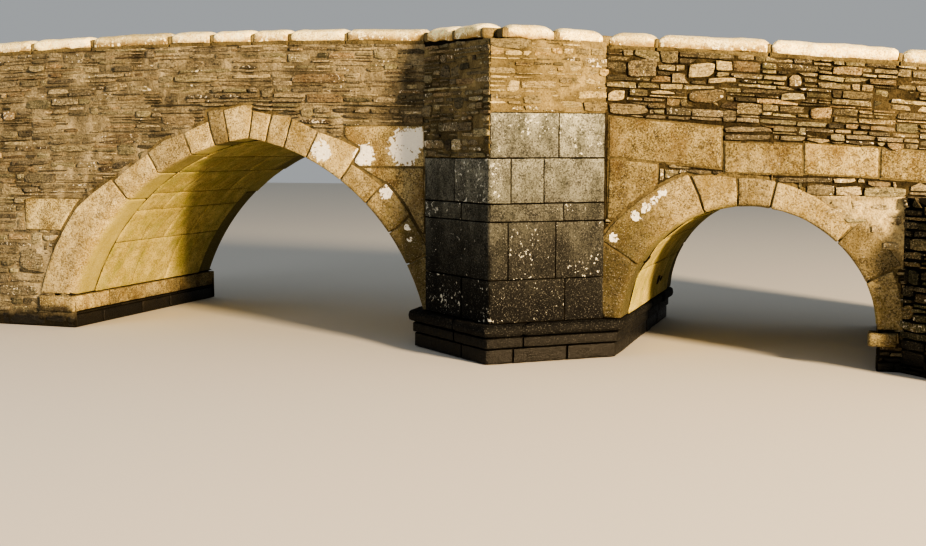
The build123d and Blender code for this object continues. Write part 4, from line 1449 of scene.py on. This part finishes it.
base_course(
    "pier_plinth_stones", 0.0, PLINTH_TOP, PLINTH_PROUD, 0.014, (-0.5, 0.30, 0.93), "pier_plinth",
)
base_course(
    "pier_band_stones", PLINTH_TOP, BAND_TOP, BAND_PROUD, 0.016, (-0.65, 0.42), "pier_base_band",
)
base_course(
    "pier_roll_stones", BAND_TOP, SPRINGING, ROLL_PROUD, ROLL_ROUNDING, (-0.65, 0.42),
    "pier_base_roll", -0.022,
)


def coping_shape(points, size, end_round, seed):
    """Rounds the top of a coping stone and its two ends, and roughens its lower edges."""
    half = size[1] / 2
    across = np.clip((points[:, 1] - half) / half, -1, 1)
    rise = COPING_SIDE + (COPING_HEIGHT - COPING_SIDE) * np.sqrt(1 - 0.94 * across**2)
    from_end = np.minimum(points[:, 0], size[0] - points[:, 0])
    drop = np.clip(1 - from_end / end_round, 0, 1)
    height = rise * (1 - 0.34 * drop**2.2)
    narrow = 1 - 0.13 * drop**2.2
    ragged = 0.5 + 0.5 * noise(on_plan(points[:, 0], across), (0.16, 1, 1), seed)
    lift = 0.045 * ragged * np.abs(across) ** 3
    z = lift + points[:, 2] / size[2] * (height - lift)
    return np.stack([points[:, 0], (points[:, 1] - half) * narrow, z], -1)


def coping_frame(start, end):
    """Length between two points of the wall top, and the axes along, across and up."""
    start, end = np.array(start), np.array(end)
    length = np.linalg.norm(end - start)
    along = (end - start) / length
    sideways = np.array([-along[1], along[0], 0]) / math.hypot(along[0], along[1])
    return start, length, (along, sideways, np.cross(along, sideways))


def coping_stone(made, start, end, width, look, before, after, end_round):
    """A coping stone between two points of the wall top."""
    start, length, axes = coping_frame(start, end)
    size = (length - before - after, width + 2 * COPING_OVERHANG, COPING_HEIGHT)
    seed = float(rng.uniform(0, 900))
    points, faces = rough_block(size, (0.035, 0.045, 0.045), 0.026, seed, ROUGH_COPING)
    shaped = coping_shape(points, size, end_round, seed)
    # Dirt gathers low on the stone and round its ends
    from_end = np.minimum(points[:, 0], size[0] - points[:, 0])
    by_end = np.clip(1 - from_end / 0.14, 0, 1)
    stained = 1.02 - 1.5 * points[:, 2] / COPING_HEIGHT + 0.55 * by_end + 0.7 * look[0] - 0.35
    even = np.ones(len(points))
    look = np.stack([stained, (look[1] + 0.22) * even, look[2] * even], -1)
    shaped[:, 0] += before
    placed = start + shaped @ np.array(axes)
    made.add(placed, faces, look, flip=True)


def coping_mortar(made, start, end, where, width, reach):
    """Mortar that fills the joint between two copings, sunk behind their faces."""
    start, _, axes = coping_frame(start, end)
    size = (2 * reach, width, 0.140)
    points, faces = rough_stone(size, (0.04, 0.06, 0.05), 0.045, ROUGH_COPING)
    points = points - (reach, width / 2, 0.0) + (where, 0, -0.002)
    made.add(start + points @ np.array(axes), faces, (0.5, 0.7, 0), flip=True)


def bedding(made, start, end, width):
    """Uneven mortar that the copings are bedded on, squeezed out under their edges."""
    start, length, axes = coping_frame(start, end)
    size = (length, width + 0.040, 0.062)
    points, faces = rough_stone(size, (0.05, 0.16, 0.02), 0.014, BEDDING)
    points = points - (0, size[1] / 2, 0.024)
    made.add(start + points @ np.array(axes), faces, PLAIN, flip=True)


COPING_LICHEN = 0.30
for side, sign, _ in SIDES:
    centre = sign * (WALL_FACE + INNER_FACE) / 2
    thickness = WALL_FACE - INNER_FACE
    mortar = Piece(f"coping_mortar_{side}")
    for half, lengths, start, end in (
        ("west", WEST_COPING, -HALF_LENGTH, CUTWATER_WEST),
        ("east", EAST_COPING, CUTWATER_EAST, HALF_LENGTH),
    ):
        made = Piece(f"{half}_coping_stones_{side}")
        marks = stones_along(lengths, start, end)
        for a, b in zip(marks, marks[1:]):
            ends = (a, centre, wall_top(a)), (b, centre, wall_top(b))
            bedding(mortar, *ends, thickness)
            before = -0.008 if a == -HALF_LENGTH else COPING_JOINT / 2
            after = -0.008 if b == HALF_LENGTH else COPING_JOINT / 2
            look, end_round = stone_shade(COPING_LICHEN), float(rng.uniform(0.06, 0.16))
            coping_stone(made, *ends, thickness, look, before, after, end_round)
            if b != HALF_LENGTH:
                coping_mortar(mortar, *ends, b - a, thickness + 0.012, 0.05)
        made.build(coping_granite, "granite", f"{half}_coping_{side}")
    made = Piece(f"refuge_coping_stones_{side}")
    inward = REFUGE_WALL / 2 / LEG_X
    for foot_x in (CUTWATER_WEST, CUTWATER_EAST):
        foot = np.array([foot_x, sign * (WALL_FACE - inward), wall_top(foot_x)])
        nose_y = sign * (WALL_FACE + CUTWATER_PROJECTION - inward)
        nose = np.array([CUTWATER_NOSE_X, nose_y, wall_top(CUTWATER_NOSE_X)])
        for a, b in ((0.11, 0.54), (0.54, 0.97)):
            ends = foot + (nose - foot) * a, foot + (nose - foot) * b
            look = stone_shade(COPING_LICHEN)
            coping_stone(made, *ends, REFUGE_WALL, look, 0.006, 0.006, 0.12)
            length = float(np.linalg.norm(ends[1] - ends[0]))
            coping_mortar(mortar, *ends, length, REFUGE_WALL + 0.03, 0.06)
        coping_mortar(mortar, foot, nose, 0.10, REFUGE_WALL + 0.03, 0.11)
    made.build(coping_granite, "granite", f"refuge_coping_{side}")
    mortar.build(joint_mortar, "granite")


def long_stones(made, east_face, west, east, bottom, top, cuts, rounding=0.014):
    """A course of stones that runs through under an arch, its face to the east or the west."""
    for near, far in zip(cuts, cuts[1:]):
        size = (far - near - 2 * HALF_JOINT, east - west, top - bottom - 0.003)
        points, faces = rough_stone(size, (0.045, 0.06, 0.045), rounding, AXED)
        x = east - points[:, 1] if east_face else west + points[:, 1]
        placed = np.stack([x, near + HALF_JOINT + points[:, 0], bottom + points[:, 2]], -1)
        look = (0.75, stone_shade()[1] - 0.18, 0.0)
        # Dirt and painted shade darken only the lower half, behind the face, as shade under the
        # ledge.
        behind = points[:, 1] * (points[:, 2] < size[2] / 2)
        made.add(placed, faces, with_dirt_and_shade(look, behind), flip=not east_face)


# Impost ledges under the soffits, and the jambs below them down to the water
JAMB_COURSE = 0.165
for half, east_face, cuts in (("west", True, (-0.95, -0.1, 0.8)), ("east", False, (-0.5, 0.4))):
    low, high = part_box(f"{half}_impost_ledge")
    made = Piece(f"{half}_ledge_stones")
    # The joint over the ledge is open, and dark.
    long_stones(made, east_face, low.x, high.x, low.z, high.z - 0.014, (low.y, *cuts, high.y))
    made.build(haunch_granite, "granite", f"{half}_impost_ledge")
    made = Piece(f"{half}_jamb_stones")
    jamb = west_arch.feet[0] if east_face else east_arch.feet[1]
    west, east = (jamb - 0.10, jamb + 0.015) if east_face else (jamb - 0.015, jamb + 0.10)
    for bottom, top, lengths in (
        (0.0, JAMB_COURSE, (0.6, 0.9, 0.7, 1.2)), (JAMB_COURSE, low.z, (1.0, 0.5, 0.9, 1.0)),
    ):
        cuts = stones_along(lengths, -WALL_FACE - 0.01, WALL_FACE + 0.01)
        long_stones(made, east_face, west, east, bottom, top, cuts)
    made.build(wet_granite, "granite")

low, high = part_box("springer_stone")
made = Piece("springer_rough_stone")
points, faces = rough_block(tuple(high - low), 0.025, 0.045, 41.0, ((0.14, 0.030), (0.06, 0.014)))
made.add(points + np.array(low), faces, (0.5, 0.35, 0.2))
made.build(haunch_granite, "granite", "springer_stone")

# Gravel of the road, with its ruts worn in
made = Piece("road_gravel")


def on_road(u, v):
    return np.abs(v) < INNER_FACE


def gravel_rise(u, v, bump):
    ruts = np.exp(-(((np.abs(v) - 0.62) / 0.20) ** 2))
    return 0.014 + 0.012 * bump - 0.009 * ruts


skin(
    made, road_face, (-HALF_LENGTH, HALF_LENGTH), (-INNER_FACE, INNER_FACE), on_road, gravel_rise,
    12.0, 0.16,
)
made.build(road_gravel, "road_surface")

# CAD nodes that stay: beds of mortar behind the stones, and the refuge floors
for name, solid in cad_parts.items():
    if solid.hide_render:
        continue
    bed = lime_mortar
    if name == "roadway" or name.startswith("refuge_floor"):
        bed = road_gravel
    elif any(part in name for part in ("buttress", "pier_core", "abutment")):
        bed = damp_mortar
    elif name.startswith("east") or "cutwater" in name or "refuge" in name:
        bed = deep_mortar
    solid.data.materials.clear()
    solid.data.materials.append(bed)

# Studio: a plain pale floor, one far softbox at the right and a weak one at the left
FLOOR_REACH = 60.0
corners = [(x * FLOOR_REACH, y * FLOOR_REACH, 0) for x, y in ((-1, -1), (1, -1), (1, 1), (-1, 1))]
floor_mesh = bpy.data.meshes.new("studio_floor")
floor_mesh.from_pydata(corners, [], [(0, 1, 2, 3)])
floor = bpy.data.objects.new("studio_floor", floor_mesh)
floor.location.z = -0.002
bpy.context.scene.collection.objects.link(floor)
floor_paint = bpy.data.materials.new("painted_floor_pale")
floor_paint.use_nodes = True
floor_shader = floor_paint.node_tree.nodes["Principled BSDF"]
floor_shader.inputs["Base Color"].default_value = linear("#cfccc4")
floor_shader.inputs["Roughness"].default_value = 0.9
floor_mesh.materials.append(floor_paint)

world = bpy.data.worlds.new("studio_air")
world.use_nodes = True
world.node_tree.nodes["Background"].inputs[0].default_value = linear("#dfe3e6")
world.node_tree.nodes["Background"].inputs[1].default_value = 0.42
bpy.context.scene.world = world


def softbox(name, location, target, size, power, colour):
    lamp = bpy.data.lights.new(name, "AREA")
    lamp.shape = "RECTANGLE"
    lamp.size, lamp.size_y = size
    lamp.energy = power
    lamp.color = linear(colour)[:3]
    holder = bpy.data.objects.new(name, lamp)
    holder.location = location
    holder.rotation_euler = (Vector(target) - Vector(location)).to_track_quat("-Z", "Y").to_euler()
    bpy.context.scene.collection.objects.link(holder)


softbox("key_right", (33.0, -21.5, 10.5), (-1.0, -1.5, 1.5), (4.0, 4.0), 47000, "#ffe0b6")
softbox("fill_left", (-12.0, -14.0, 7.0), (-1.0, -1.0, 1.5), (8.0, 6.0), 500, "#eef3ff")
bpy.context.scene.view_settings.look = "AgX - High Contrast"

# Camera, at the photograph's viewing angle
PHOTO_WIDTH = 926
FOCAL_PIXELS = 1230
SENSOR = 36.0
CAMERA_PITCH = 5.752
CAMERA_TURN = 18.66
camera_data = bpy.data.cameras.new("photo_camera")
camera_data.sensor_width = SENSOR
camera_data.sensor_fit = "HORIZONTAL"
camera_data.lens = SENSOR * FOCAL_PIXELS / PHOTO_WIDTH
camera = bpy.data.objects.new("photo_camera", camera_data)
camera.location = (4.8, -14.764, 2.25)
camera.rotation_euler = (math.radians(90 - CAMERA_PITCH), 0, math.radians(CAMERA_TURN))
bpy.context.scene.collection.objects.link(camera)
bpy.context.scene.camera = camera
